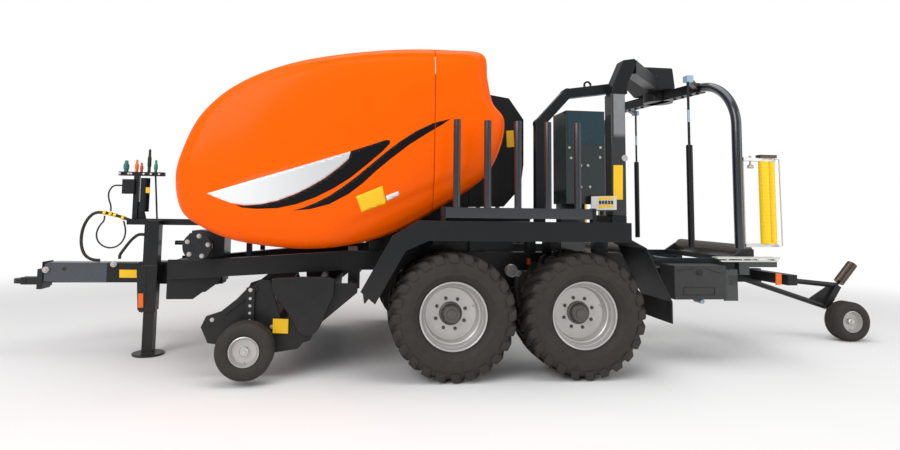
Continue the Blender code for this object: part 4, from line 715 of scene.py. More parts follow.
# Wheel nuts and the screws of the hub's cap: count, circle, distance outwards, size
NUTS = 8
NUT_CIRCLE, NUT_OUT, NUT_RADIUS, STUD_RADIUS, STUD_LENGTH = 0.134, 0.040, 0.012, 0.007, 0.026
CAP_CIRCLE, CAP_OUT, CAP_SCREW_RADIUS = 0.062, 0.105, 0.006


def lugged_tyre(shape, centre):
    """Carcass with rings on its flanks and curved lugs on both shoulders."""
    half = [(radius, share * TYRE_HALF) for radius, share in TYRE_PROFILE]
    profile = half + [(radius, -along) for radius, along in reversed(half[:-1])]
    shape.lathe(profile, centre, (0, 1, 0), 96, True)
    pitch = 2 * math.pi / LUGS
    for row in (-1, 1):
        for number in range(LUGS):
            start = number * pitch + (pitch / 2 if row > 0 else 0)
            rings = []
            for share, top, base, width in LUG_STATIONS:
                swept = LUG_SWEEP * (1 - share) ** 0.85
                ring = []
                for radius, spread in ((base, -1.5), (top, -1), (top, 1), (base, 1.5)):
                    angle = start + swept + spread * width / TYRE_RADIUS
                    x, z = around((centre.x, centre.z), radius, math.degrees(angle))
                    ring.append(shape.bm.verts.new((x, centre.y + row * share * LUG_HALF, z)))
                rings.append(ring)
            skin(shape.bm, rings, caps=True)


def make_wheels():
    """Big wheels: tyre, dished rim, dark hub, nuts and valve."""
    for end, x in WHEEL_XS:
        for label, side in SIDES:
            which = "%s_%s" % (end, label)
            body = "wheel_" + which
            out = (0, side, 0)
            centre = Vector((x, side * WHEEL_Y, TYRE_RADIUS))
            tyre = Shape()
            lugged_tyre(tyre, centre)
            tyre.done("tyre_%s_tread" % which, RUBBER, body, "tyre", ["tyre_" + which], 38, 0.003)
            rim = Shape().lathe(RIM_PROFILE, centre, out, 72, True)
            rim.rod(*(centre + Vector((a, side * b, c)) for a, b, c in VALVE), VALVE_RADIUS, 8)
            rim.done("rim_%s_dish" % which, SILVER, body, "painted_silver", ["rim_" + which], 32)
            hub = Shape().lathe(HUB_PROFILE, centre, out, 40)
            for number in range(NUTS):
                angle = math.pi * (number * 2 / NUTS + 0.1)
                round_hub = Vector((math.cos(angle), 0, math.sin(angle)))
                place = centre + round_hub * NUT_CIRCLE + Vector((0, side * NUT_OUT, 0))
                hub.bolt(place, out, NUT_RADIUS)
                hub.rod(place, place + Vector((0, side * STUD_LENGTH, 0)), STUD_RADIUS, 8)
                place = centre + round_hub * CAP_CIRCLE + Vector((0, side * CAP_OUT, 0))
                hub.bolt(place, out, CAP_SCREW_RADIUS)
            hub.done("hub_" + which, DARK_STEEL, body, "painted_silver", (), 32)


make_wheels()

# Small wheels: name, body, centre, radius, half width, side that faces out
SMALL_WHEELS = [("gauge_wheel_left", "gauge_left", (-2.16, -1.355, 0.275), 0.229, 0.094, -1),
                ("gauge_wheel_right", "gauge_right", (-2.16, 1.355, 0.275), 0.229, 0.094, 1),
                ("turner_wheel", "turner_wheel_body", (4.33, -0.055, 0.22), 0.219, 0.104, -1)]


SMALL_BEAD = 0.118
# Foot of a small tyre: radius, share of the half width
SMALL_FOOT = [(SMALL_BEAD, 0.60), (0.126, 0.82)]
# Flank of a small tyre: share of the height from bead to crown, share of the half width
SMALL_FLANK = [(0.30, 0.97), (0.50, 1.0), (0.74, 0.97), (0.90, 0.86), (0.97, 0.70)]
SMALL_RIBS = (0.56, 0.20)
GROOVE_DEPTH = 0.007
# Rim and hub of a small wheel: radius, share of the half width
SMALL_RIM = [(0.119, 0.62), (0.121, 0.80), (0.113, 0.84), (0.107, 0.72), (0.104, 0.50), (0.094, 0.34),
             (0.075, 0.30), (0.040, 0.36), (0, 0.36), (0, -0.9), (0.030, -0.9), (0.034, -0.3), (0.095, -0.3),
             (0.119, -0.85)]
SMALL_HUB = [(0, 0.3), (0.040, 0.3), (0.038, 0.62), (0.030, 0.70), (0, 0.72)]
SMALL_VALVE = ((0.3, -0.085), (0.62, -0.088))
SMALL_BOLT = (0.71, 0.016)


def small_wheel(name, body, centre, radius, half, side):
    """Ribbed small tyre on a silver rim with a dark hub."""
    out = (0, side, 0)
    centre = Vector(centre)
    rise = radius - SMALL_BEAD
    profile = SMALL_FOOT + [(SMALL_BEAD + high * rise, wide) for high, wide in SMALL_FLANK]
    for share in SMALL_RIBS:
        profile += [(radius, share + 0.10), (radius, share - 0.04), (radius - GROOVE_DEPTH, share - 0.07),
                    (radius - GROOVE_DEPTH, share - 0.12)]
    profile = [(r, share * half) for r, share in profile]
    profile += [(r, -along) for r, along in reversed(profile)]
    Shape().lathe(profile, centre, (0, 1, 0), 64, True).done(name + "_tyre", RUBBER, body, "tyre", [name], 40)
    rim = [(r, share * half) for r, share in SMALL_RIM]
    Shape().lathe(rim, centre, out, 48).done(name + "_rim", SILVER, body, "painted_silver")
    hub = Shape().lathe([(r, share * half) for r, share in SMALL_HUB], centre, out, 24)
    hub.bolt(centre + Vector((0, side * SMALL_BOLT[0] * half, 0)), out, SMALL_BOLT[1])
    valve = [centre + Vector((0, side * share * half, drop)) for share, drop in SMALL_VALVE]
    hub.rod(*valve, VALVE_RADIUS, 8)
    hub.done(name + "_hub", ZINC, body, "painted_silver")


for row in SMALL_WHEELS:
    small_wheel(*row)


PLATE_GAP = 0.0002


def outline_at(pixels, y):
    """Outline in X and Z from pixels of the picture, on a plane of that Y."""
    return [on_plane(px, py, y) for px, py in pixels]


def rectangle(left, top, right, bottom):
    """Upright rectangle in pixels of the picture."""
    return [(left, top), (right, top), (right, bottom), (left, bottom)]


def plate(name, pixels, y, material, body="chassis", lift=0.002):
    """Blank plate on a face that looks to the left side."""
    Shape().slab(outline_at(pixels, y), y - lift, y - PLATE_GAP).done(name, material, body)


def span(middle, half):
    """Both ends of a length about its middle."""
    return middle - half, middle + half


LEFTWARDS = (0, -1, 0)
SATELLITE_X = 2.12

# Tower: boxes of its foot, column, top beam and brace in metres, head and gear cover in pixels
COLUMN_X, COLUMN_Y, COLUMN_Z = (1.03, 1.17), (-1.16, -1.02), (1.39, 2.52)
BRACE_FOOT_X = (0.35, 0.44)
POST_Y = (-0.75, -0.65)
FOOT_BOXES = [(COLUMN_X, (-1.16, -0.65), (1.27, 1.39)), (COLUMN_X, POST_Y, (1.026, 1.389)),
              (BRACE_FOOT_X, (-1.045, -0.65), (1.21, 1.29)), (BRACE_FOOT_X, POST_Y, (1.026, 1.289))]
TOP_BEAM = ((1.27, -1.06, 2.80), (2.08, -0.05, 2.84))
TOP_BEAM_SIZE = (0.12, 0.13)
TOP_HUB_Z = (2.771, 2.93)
TOP_HUB_RADIUS = 0.14
BRACE_PATH = [(0.395, 1.24), (0.395, 2.24), (0.66, 2.53), (1.12, 2.60)]
BRACE_Y = -1.0
BRACE_SIZE = 0.09
BRACE_JOINT_Y = (-1.046, -0.954)
BRACE_JOINT_RADIUS = 0.05
LIFT_EYE = (0.87, BRACE_Y, 2.625)
LIFT_EYE_PROFILE = [(0.022, -0.008), (0.040, -0.008), (0.040, 0.008), (0.022, 0.008)]
HEAD = [(611.8, 94.0), (613.0, 84.5), (623.4, 60.0), (634.6, 58.6), (637.6, 61.5), (627.8, 84.0),
        (627.4, 94.0)]
GEAR_COVER = [(640.6, 72.0), (640.4, 64.4), (642.2, 62.8), (668.5, 65.4), (671.4, 66.4), (672.8, 68.6),
              (675.4, 88.0), (673.4, 89.8), (656.5, 89.6)]
GEAR_COVER_Y = (-0.28, 0.25)
GEAR_COVER_TOP = 3.015
# Dark plate in the gear cover's slot: painted shade
GEAR_COVER_SLOT = rectangle(655.8, 75.0, 657.2, 85.0)
COLUMN_LABEL = rectangle(613.4, 165.2, 622.8, 199.6)
SOCKET = (624.5, 158.2)
SOCKET_PROFILE = [(0, 0), (0.030, 0), (0.030, 0.012), (0.020, 0.016), (0.018, 0.010), (0, 0.010)]
# Control panel: its face, the two printed rows and the keys
PANEL = [(591.2, 196.4), (616.6, 196.0), (616.6, 209.8), (591.2, 210.2)]
PANEL_BACK_Y = -1.2201
PANEL_Y = -1.2222
PANEL_ROW_HEIGHTS = (198.4, 206.4)
PANEL_ROW = [(598.0, -1.3), (613.4, -1.5), (613.4, 1.1), (598.0, 1.3)]
KEYS = [(600.0 + 3.0 * number, 202.4) for number in range(5)]
KEY_FRONT_Y = -1.229
KEY_HALF = (0.009, 0.016)


def make_tower():
    """Tower with gear cover, label, control panel and socket."""
    tower = Shape()
    for sizes in FOOT_BOXES:
        tower.box(*sizes)
    tower.slab(outline_at(HEAD, COLUMN_Y[0]), *COLUMN_Y)
    tower.bar(*TOP_BEAM, *TOP_BEAM_SIZE)
    tower.rod(*((SATELLITE_X, 0, z) for z in TOP_HUB_Z), TOP_HUB_RADIUS, 28)
    for (x0, z0), (x1, z1) in zip(BRACE_PATH, BRACE_PATH[1:]):
        tower.bar((x0, BRACE_Y, z0), (x1, BRACE_Y, z1), BRACE_SIZE, BRACE_SIZE)
    for x, z in BRACE_PATH[1:3]:
        tower.rod(*((x, y, z) for y in BRACE_JOINT_Y), BRACE_JOINT_RADIUS, 20)
    tower.lathe(LIFT_EYE_PROFILE, LIFT_EYE, (0, 1, 0), 24, True)
    tower.done("tower_frame", BLACK, replaces=["wrapper_tower"], smooth=30, bevel=0.004)
    Shape().box(COLUMN_X, COLUMN_Y, COLUMN_Z).done("tower_column", COLUMN, smooth=30, bevel=0.006)
    cover = [(x, min(z, GEAR_COVER_TOP)) for x, z in outline_at(GEAR_COVER, GEAR_COVER_Y[0])]
    Shape().slab(cover, *GEAR_COVER_Y).done("gear_cover", BLACK, smooth=30, bevel=0.012)
    # Dark plate where the slot is: painted shade
    plate("gear_cover_slot_painted_shade", GEAR_COVER_SLOT, GEAR_COVER_Y[0], HOSE)
    plate("column_label", COLUMN_LABEL, COLUMN_Y[0], LABEL)
    plate("panel_face", PANEL, PANEL_BACK_Y, PALE)
    for row, middle in enumerate(PANEL_ROW_HEIGHTS):
        plate("panel_row_%d" % row, [(px, middle + py) for px, py in PANEL_ROW], PANEL_Y, LABEL)
    keys = Shape()
    for x, z in outline_at(KEYS, PANEL_Y):
        keys.box(span(x, KEY_HALF[0]), (KEY_FRONT_Y, PANEL_Y), span(z, KEY_HALF[1]))
    keys.done("panel_keys", HOSE, smooth=30, bevel=0.002)
    x, z = on_plane(*SOCKET, COLUMN_Y[0])
    socket = Shape().lathe(SOCKET_PROFILE, (x, COLUMN_Y[0] - PLATE_GAP, z), LEFTWARDS, 24)
    socket.done("column_socket", SILVER, slot="zinc")


make_tower()

# Drawbar: jack plate and lamp, labels, painted front part, bolts, and a dark disc as painted shade in the
# hole
JACK_PLATE = [(136.6, 268.0), (146.4, 268.0), (146.4, 299.0), (142.0, 313.0), (137.4, 310.0)]
JACK_PLATE_Y = (-0.332, -0.334, -0.3302)
JACK_LAMP = rectangle(138.4, 293.4, 143.6, 307.6)
JACK_LAMP_Y = (-0.335, -0.347, -0.3206)
DRAWBAR_Y = -0.0932
DRAWBAR_LABEL = [(119.4, 269.6), (137.0, 269.8), (137.0, 277.8), (119.4, 277.6)]
PICKUP_LABEL = [(273.0, 318.6), (288.4, 319.0), (288.0, 333.6), (272.6, 333.0)]
PICKUP_LABEL_Y = -1.1702
PAINT_END_X = -3.72
PAINT_CHEEK = [(-4.30, 0.672), (-4.30, 0.836), (-4.27, 0.8495), (PAINT_END_X, 0.8495), (PAINT_END_X, 0.662),
               (-4.05, 0.662)]
PAINT_INNER_Y = 0.0902
PAINT_TOP = ((-4.27, PAINT_END_X), (-0.088, 0.088), (0.8502, 0.853))
BOLTS = ((46.5, 269.6), (114.6, 258.2))
BOLT_TOP_Z = 0.842
BOLT_BOSS = (-0.118, -0.0934, 0.030)
BOLT_RADIUS = 0.017
# Dark disc in the hole: painted shade
HOLE = (64.4, 268.8)
HOLE_Y = (-0.0945, -0.0934)
HOLE_RADIUS = 0.020


def make_drawbar():
    """Pieces on the drawbar and the jack, and the pickup's label."""
    at, *ys = JACK_PLATE_Y
    Shape().slab(outline_at(JACK_PLATE, at), *ys).done("jack_plate", BLACK, smooth=30, bevel=0.001)
    plate("drawbar_label", DRAWBAR_LABEL, DRAWBAR_Y, LABEL)
    at, *ys = JACK_LAMP_Y
    Shape().slab(outline_at(JACK_LAMP, at), *ys).done("jack_lamp", LAMP, smooth=30, bevel=0.003)
    plate("pickup_label", PICKUP_LABEL, PICKUP_LABEL_Y, LABEL, "pickup")
    paint = Shape()
    for side in (-1, 1):
        paint.slab(PAINT_CHEEK, side * PAINT_INNER_Y, -side * DRAWBAR_Y)
    paint.box(*PAINT_TOP).done("drawbar_front_paint", BLUE_GREY, smooth=30, bevel=0.001)
    bolts = Shape()
    for x, z in outline_at(BOLTS, DRAWBAR_Y):
        z = min(z, BOLT_TOP_Z)
        far, near, radius = BOLT_BOSS
        bolts.rod((x, far, z), (x, near, z), radius, 24)
        bolts.bolt((x, far - PLATE_GAP, z), LEFTWARDS, BOLT_RADIUS)
    bolts.done("drawbar_bolts", SILVER, slot="zinc")
    # Thin dark disc where the hole is: painted shade
    x, z = on_plane(*HOLE, DRAWBAR_Y)
    Shape().rod(*((x, y, z) for y in HOLE_Y), HOLE_RADIUS, 24).done("drawbar_hole_painted_shade", HOSE)


make_drawbar()

# Hose stand: post, tray, rack post and bar, control box and its door, gusset, pouch, stay
TRAY_X, TRAY_Y, TRAY_Z = (-3.54, -2.84), (-0.147, 0.107), (1.232, 1.288)
STAND_BOXES = [((-3.395, -3.315), (-0.07, 0.03), (0.852, 1.235)), (TRAY_X, (-0.155, -0.147), TRAY_Z),
               (TRAY_X, (0.107, 0.115), TRAY_Z), ((-3.54, -3.532), TRAY_Y, TRAY_Z),
               ((-3.532, -2.84), TRAY_Y, (1.232, 1.240)), ((-3.53, -3.48), (-0.045, 0.005), (1.2405, 1.735)),
               ((-3.68, -3.24), (-0.05, 0.01), (1.722, 1.762)),
               ((-3.6302, -3.51), (-0.075, 0.02), (1.538, 1.685)),
               ((-3.6285, -3.515), (-0.0785, -0.075), (1.545, 1.678))]
GUSSET = [(-3.48, 1.2402), (-3.48, 1.46), (-3.445, 1.46), (-3.385, 1.2402)]
GUSSET_Y = (-0.03, -0.01)
POUCH = ((-3.41, -0.06, 1.36), (-3.41, -0.06, 1.70), 0.044, 24)
STAY = ((-3.30, 0.0, 1.288), (-3.335, 0.0, 1.725), 0.009, 10)
POUCH_TAG = rectangle(146.0, 187.4, 150.2, 193.0)
POUCH_TAG_Y = (-0.10, -0.1085, -0.1045)
# Couplings on the rack bar: X, height above it, radius, material
COUPLINGS = [(-3.617, 0.115, 0.028, TEAL), (-3.515, 0.125, 0.018, LAMP), (-3.468, 0.095, 0.016, RED),
             (-3.395, 0.235, 0.019, HOSE), (-3.330, 0.125, 0.018, GREEN)]
# Shares of a coupling's radius and height
COUPLING = [(0, 0), (0.8, 0), (0.8, 0.22), (1, 0.26), (1, 0.62), (0.72, 0.68), (0.62, 0.94), (0.4, 1), (0, 1)]
COUPLING_FOOT = (-0.02, 1.7622)
NUT_XS = (-3.66, -3.575, -3.55, -3.43, -3.36, -3.28)
NUT_Y = (-0.052, -0.075)
NUT_Z = 1.742
COUPLING_NUT_RADIUS = 0.011
# Clips on the front hose: X, Z, slope of the hose there
CLIPS = [(-3.700, 1.322, -0.3), (-3.622, 1.2965, -0.3), (-3.800, 1.3435, -0.15), (-3.743, 1.333, -0.2)]
CLIP_PROFILE = [(0.0155, -0.014), (0.0215, -0.014), (0.0215, 0.014), (0.0155, 0.014)]


def make_hose_stand():
    """Stand with its tray and control box, couplings, nuts and clips."""
    stand = Shape()
    for sizes in STAND_BOXES:
        stand.box(*sizes)
    stand.slab(GUSSET, *GUSSET_Y).rod(*POUCH).rod(*STAY)
    stand.done("hose_stand", BLACK, replaces=["hose_post"], smooth=30, bevel=0.003)
    at, *ys = POUCH_TAG_Y
    tag = Shape().slab(outline_at(POUCH_TAG, at), *ys)
    tag.done("pouch_tag", LABEL, "chassis", "black_plastic", (), 30, 0.001)
    for number, (x, height, radius, material) in enumerate(COUPLINGS):
        profile = [(r * radius, h * height) for r, h in COUPLING]
        Shape().lathe(profile, (x, *COUPLING_FOOT), (0, 0, 1), 20).done(
            "coupling_%d" % number, material, "chassis", "black_plastic", (), 40)
    nuts = Shape()
    for x in NUT_XS:
        nuts.rod(*((x, y, NUT_Z) for y in NUT_Y), COUPLING_NUT_RADIUS, 12)
    nuts.done("coupling_nuts", SILVER, slot="zinc")
    clips = Shape()
    for x, z, slope in CLIPS:
        clips.lathe(CLIP_PROFILE, (x, HOSE_Y, z), (1, 0, slope), 20, True)
    clips.done("hose_clips", YELLOW, "chassis", "black_plastic", (), 40)


make_hose_stand()

# Sides of the pickup: bracket of the gauge wheel with its pins, bolts of the side plate
BRACKET_X, BRACKET_Y, BRACKET_Z = (-2.195, -2.125), (1.1705, 1.19), (0.30, 0.75)
BRACKET_PIN_X = -2.16
BRACKET_PIN_ZS = [0.42 + 0.06 * number for number in range(5)]
BRACKET_PIN_Y = (1.1902, 1.1925)
BRACKET_PIN_RADIUS = 0.012
BRACKET_BOLT_ZS = (0.73, 0.34)
SIDE_BOLTS = ((-2.47, 0.48), (-2.28, 0.42), (-2.00, 0.30), (-1.98, 0.42), (-2.36, 0.555))
SIDE_BOLT_Y = 1.1502
SIDE_BOLT_RADIUS = 0.013
# Bolts of both fenders in X and Z, and of the front flange on a circle
FENDER_BOLTS = ((-0.55, 1.20), (-0.50, 1.20), (0.55, 1.20), (0.60, 1.20), (0.98, 1.29), (-0.72, 1.29))
FENDER_BOLT_Y = 1.4702
FENDER_BOLT_RADIUS = 0.008
FLANGE_BOLT_X = -2.9702
FLANGE_MIDDLE = (0.0, 1.05)
FLANGE_CIRCLE = 0.08
FLANGE_BOLT_RADIUS = 0.009


def make_bolts():
    """Brackets and bolts of the pickup, bolts of the fenders and of the front flange."""
    for label, side in SIDES:
        out = (0, side, 0)
        bracket = Shape().box(BRACKET_X, [side * y for y in BRACKET_Y], BRACKET_Z)
        bracket.done("gauge_bracket_" + label, BLACK, "pickup", smooth=30, bevel=0.003)
        pins = Shape()
        for z in BRACKET_PIN_ZS:
            pins.rod(*((BRACKET_PIN_X, side * y, z) for y in BRACKET_PIN_Y), BRACKET_PIN_RADIUS, 16)
        for x, z in SIDE_BOLTS:
            pins.bolt((x, side * SIDE_BOLT_Y, z), out, SIDE_BOLT_RADIUS)
        for z in BRACKET_BOLT_ZS:
            pins.bolt((BRACKET_PIN_X, side * BRACKET_PIN_Y[0], z), out, SIDE_BOLT_RADIUS)
        pins.done("pickup_bolts_" + label, SILVER, "pickup", "zinc")
    heads = Shape()
    for side in (-1, 1):
        for x, z in FENDER_BOLTS:
            heads.bolt((x, side * FENDER_BOLT_Y, z), (0, side, 0), FENDER_BOLT_RADIUS)
    for angle in range(0, 360, 60):
        heads.bolt((FLANGE_BOLT_X, *around(FLANGE_MIDDLE, FLANGE_CIRCLE, angle + 20)), (-1, 0, 0),
                   FLANGE_BOLT_RADIUS)
    heads.done("fastener_heads", SILVER, slot="zinc")


make_bolts()

# Table side: white strips, carrier of the cutter and its board, trim of the toolbox, pipe and lamp
STRIP_BOXES = [((2.20, 2.86), (-0.93, -0.885), (0.982, 1.0)), ((2.22, 2.86), (-0.872, -0.80), (0.985, 0.998)),
               ((2.24, 2.84), (-0.925, -0.89), (0.955, 0.970))]
STRIP_LINK_XS = (2.30, 2.46, 2.62, 2.80)
STRIP_LINK = (0.02, (-0.92, -0.81), (0.9702, 0.984))
CARRIER_BOXES = [((2.44, 2.55), (-0.90, -0.83), (0.83, 0.9545)),
                 ((2.52, 2.86), (-0.88, -0.84), (0.90, 0.9545))]
BOARD = ((724.5, 301.0), (737.5, 269.5))
BOARD_Y = (-0.93, -0.915)
BOARD_ARM_Y = (-0.9148, -0.83)
BOARD_ARM_Z = 0.835
BOARD_ARM_X = (0.02, 0.06)
BOARD_ARM_SHORT = 0.01
TOOLBOX_Y = -0.95
TOOLBOX_CAP = (699.5, 272.5)
CAP_PROFILE = [(0, 0), (0.030, 0), (0.030, 0.006), (0.024, 0.012), (0.010, 0.013), (0, 0.013)]
HANDLE = rectangle(684.0, 287.4, 714.6, 295.0)
TOOLBOX_LINES = (((676.8, 271.0), (694.6, 268.2)), ((704.4, 268.2), (719.6, 273.0)), (HANDLE[0], HANDLE[1]),
                 (HANDLE[3], HANDLE[2]), (HANDLE[0], HANDLE[3]), (HANDLE[1], HANDLE[2]))
LINE_Y = -0.9515
LINE_SIZE = 0.006
PIPE = (701.0, 303.6)
PIPE_Y = (-0.93, -0.80)
PIPE_Z = 0.577
PIPE_RADIUS = 0.021
PIPE_READ_Y = -0.90
REAR_LAMP = [(775.2, 273.2), (780.8, 273.6), (780.8, 284.6), (775.2, 285.0)]
REAR_LAMP_Y = (-1.02, -1.034, -1.0202)


def make_table_side():
    """Strips and carrier of the film cutter, toolbox trim, pipe and rear lamp."""
    strips = Shape()
    width, *rest = STRIP_LINK
    for sizes in STRIP_BOXES + [((x, x + width), *rest) for x in STRIP_LINK_XS]:
        strips.box(*sizes)
    strips.done("table_strips", PALE, "chassis", "zinc", ["film_cutter"], 30, 0.002)
    carrier = Shape()
    (x, z), (far, top) = outline_at(BOARD, BOARD_Y[0])
    for sizes in CARRIER_BOXES + [((x, far), BOARD_Y, (z, top)),
                                  ([x + shift for shift in BOARD_ARM_X], BOARD_ARM_Y,
                                   (BOARD_ARM_Z, top - BOARD_ARM_SHORT))]:
        carrier.box(*sizes)
    carrier.done("cutter_carrier", GREEN_BLACK, smooth=30, bevel=0.003)
    x, z = on_plane(*TOOLBOX_CAP, TOOLBOX_Y)
    trim = Shape().lathe(CAP_PROFILE, (x, TOOLBOX_Y - PLATE_GAP, z), LEFTWARDS, 24)
    for line in TOOLBOX_LINES:
        (x0, z0), (x1, z1) = outline_at(line, TOOLBOX_Y)
        trim.bar((x0, LINE_Y, z0), (x1, LINE_Y, z1), LINE_SIZE, LINE_SIZE)
    trim.done("toolbox_trim", GREY, "chassis", "black_plastic", (), 30, 0.001)
    x, _ = on_plane(*PIPE, PIPE_READ_Y)
    pipe = Shape().rod(*((x, y, PIPE_Z) for y in PIPE_Y), PIPE_RADIUS, 20)
    pipe.done("toolbox_pipe", PALE_BLUE, slot="painted_grey")
    at, *ys = REAR_LAMP_Y
    Shape().slab(outline_at(REAR_LAMP, at), *ys).done("rear_lamp", LAMP, smooth=30, bevel=0.003)


make_table_side()

# Machine's side: cabinet door, screws, gearbox plate, tailgate label, gauge and marker
DOOR_Y = -1.15
DOOR_OUTLINE = [(567.4, 112.6), (602.8, 112.2), (602.6, 144.6), (569.2, 144.4), (567.4, 142.0)]
DOOR_LIFT = 0.004
DOOR_SCREWS = [(569.4, 147.6), (600.4, 147.6), (571.0, 158.0), (600.0, 157.4), (581.0, 187.0), (590.0, 187.0),
               (581.0, 165.5), (588.0, 165.5)]
SCREW_RADIUS = 0.009
BOLT_HEAD_RADIUS = 0.016
GEARBOX = (-2.75, 1.05)
GEARBOX_Y = -0.56
GEARBOX_BOLT_Y = -0.6002
GEARBOX_CIRCLE = 0.098
GEARBOX_PROFILE = [(0.0505, 0), (0.130, 0), (0.134, 0.006), (0.134, 0.034), (0.128, 0.040), (0.0505, 0.040)]
TAILGATE_LABEL = [(506.2, 130.8), (513.4, 130.4), (514.2, 146.8), (507.0, 147.4)]
TAILGATE_Y = -0.64
# Gauge and marker between the wheels, on the beam behind them
GAUGE = (512.0, 271.0)
GAUGE_PROFILE = [(0, 0), (0.062, 0), (0.062, 0.030), (0.056, 0.036), (0.052, 0.030), (0, 0.030)]
MARKER = (529.4, 262.0)
MARKER_HALF = (0.012, 0.03)
MARKER_Y = (-0.80, -0.7502)


def make_machine_side():
    """Door, screws, plates and gauge that the left side shows."""
    plate("cabinet_door", DOOR_OUTLINE, DOOR_Y, DOOR, lift=DOOR_LIFT)
    screws = Shape()
    for x, z in outline_at(DOOR_SCREWS, DOOR_Y):
        screws.bolt((x, DOOR_Y - PLATE_GAP, z), LEFTWARDS, SCREW_RADIUS)
    for angle in range(0, 360, 72):
        x, z = around(GEARBOX, GEARBOX_CIRCLE, angle + 10)
        screws.bolt((x, GEARBOX_BOLT_Y, z), LEFTWARDS, BOLT_HEAD_RADIUS)
    screws.done("door_screws", SILVER, slot="zinc")
    ring = Shape().lathe(GEARBOX_PROFILE, (GEARBOX[0], GEARBOX_Y, GEARBOX[1]), LEFTWARDS, 32, True)
    ring.done("gearbox_plate", GREY, slot="painted_grey")
    plate("tailgate_label", TAILGATE_LABEL, TAILGATE_Y, LABEL, "rear_gate")
    x, z = on_plane(*GAUGE, MARKER_Y[0])
    gauge = Shape().lathe(GAUGE_PROFILE, (x, MARKER_Y[1], z), LEFTWARDS, 32)
    gauge.done("pressure_gauge", SILVER, slot="zinc")
    x, z = on_plane(*MARKER, MARKER_Y[0])
    marker = Shape().box(span(x, MARKER_HALF[0]), MARKER_Y, span(z, MARKER_HALF[1]))
    marker.done("side_marker", LAMP, smooth=30, bevel=0.003)


make_machine_side()

# Film unit details of the left arm; the right arm has the same, half a turn on
SATELLITE_AXIS = Vector((SATELLITE_X, 0, 0))
FRAME_ROD_X = 2.748
FRAME_ROD_Y = -1.10
FRAME_ROD = [(-0.05, 1.952), (0, 1.948), (0.006, 1.125), (-0.05, 1.118)]
FRAME_ROD_RADIUS = 0.006
SPINDLE_RODS = [((2.47, -1.07, 1.90), (2.47, -1.07, 1.982), 0.009, 12),
                ((2.445, -1.07, 1.875), (2.495, -1.07, 1.875), 0.016, 12),
                ((2.47, -1.07, 1.875), (2.47, -1.07, 1.905), 0.014, 12)]
SPINDLE_BOLT = (2.47, -1.07, 1.9605)
UNIT_BLOCK = ((2.54, 2.71), (-1.125, -1.05), (1.9605, 1.990))
CLAMP = ((1.855, 1.921), (-1.050, -0.972), (2.690, 2.752))
CLAMP_ROD = ((1.888, -1.0036, 2.30), (1.888, -1.0036, 2.42), 0.0135, 14)


def make_film_unit_details():
    """Frame rods, block and clamp of both film units."""
    for label, turn in (("left", 0.0), ("right", math.pi)):
        turned = (Matrix.Translation(SATELLITE_AXIS) @ Matrix.Rotation(turn, 4, "Z")
                  @ Matrix.Translation(-SATELLITE_AXIS))
        rods = Shape().tube([(FRAME_ROD_X + x, FRAME_ROD_Y, z) for x, z in FRAME_ROD], FRAME_ROD_RADIUS)
        for facts in SPINDLE_RODS:
            rods.rod(*facts)
        rods.bolt(SPINDLE_BOLT, (0, 0, 1), BOLT_HEAD_RADIUS)
        for shape, name, material in ((rods, "film_frame_rods", ZINC),
                                      (Shape().box(*UNIT_BLOCK), "film_frame_block", BROWN_STEEL),
                                      (Shape().box(*CLAMP).rod(*CLAMP_ROD), "rod_clamp", PALE_BLUE)):
            bmesh.ops.transform(shape.bm, matrix=turned, verts=shape.bm.verts[:])
            shape.done("%s_%s" % (name, label), material, "satellite", "zinc", bevel=0.002)


make_film_unit_details()

# Pickup frame: open side plates, cross tube, trough, spindles and the shroud of its drive
PICKUP_SIDE = [(-2.08, 0.81), (-2.40, 0.55), (-2.52, 0.51), (-2.56, 0.42), (-2.50, 0.29), (-1.96, 0.205),
               (-1.76, 0.235), (-1.60, 0.425), (-1.27, 0.70), (-1.27, 0.78), (-1.60, 0.78), (-1.87, 0.70),
               (-1.85, 0.50), (-1.90, 0.46), (-2.01, 0.805)]
PICKUP_SIDE_Y = (1.13, 1.15)
PICKUP_END_Y = 1.14
TROUGH = [(-1.80, 0.26), (-1.66, 0.30), (-1.56, 0.50), (-1.42, 0.62), (-1.42, 0.66), (-1.60, 0.52),
          (-1.69, 0.33), (-1.80, 0.28)]
PIVOT_X, PIVOT_Y, PIVOT_Z, PIVOT_RADIUS = -1.30, (0.82, 1.14), 0.74, 0.035
SPINDLE_Y, SPINDLE_Z, SPINDLE_RADIUS = (1.14, 1.40), 0.275, 0.02
PICKUP_STRIP = ((-2.19, -2.13), (1.1504, 1.1704), (0.24, 0.74))
PICKUP_STAY = ((-2.38, 0.535), (-2.11, 0.752))
PICKUP_STAY_Y = 1.160
PICKUP_STAY_SIZE = (0.018, 0.045)
CROSS_TUBE = (-1.62, 0.62, 0.05)
SHROUD = [(-1.945, 0.83), (-1.51, 0.835), (-1.465, 0.77), (-1.47, 0.685), (-1.51, 0.59), (-1.565, 0.455),
          (-1.62, 0.375), (-1.70, 0.35), (-1.77, 0.40), (-1.825, 0.51), (-1.93, 0.645), (-1.98, 0.73),
          (-1.985, 0.80)]
SHROUD_Y = (-1.1506, -1.219)


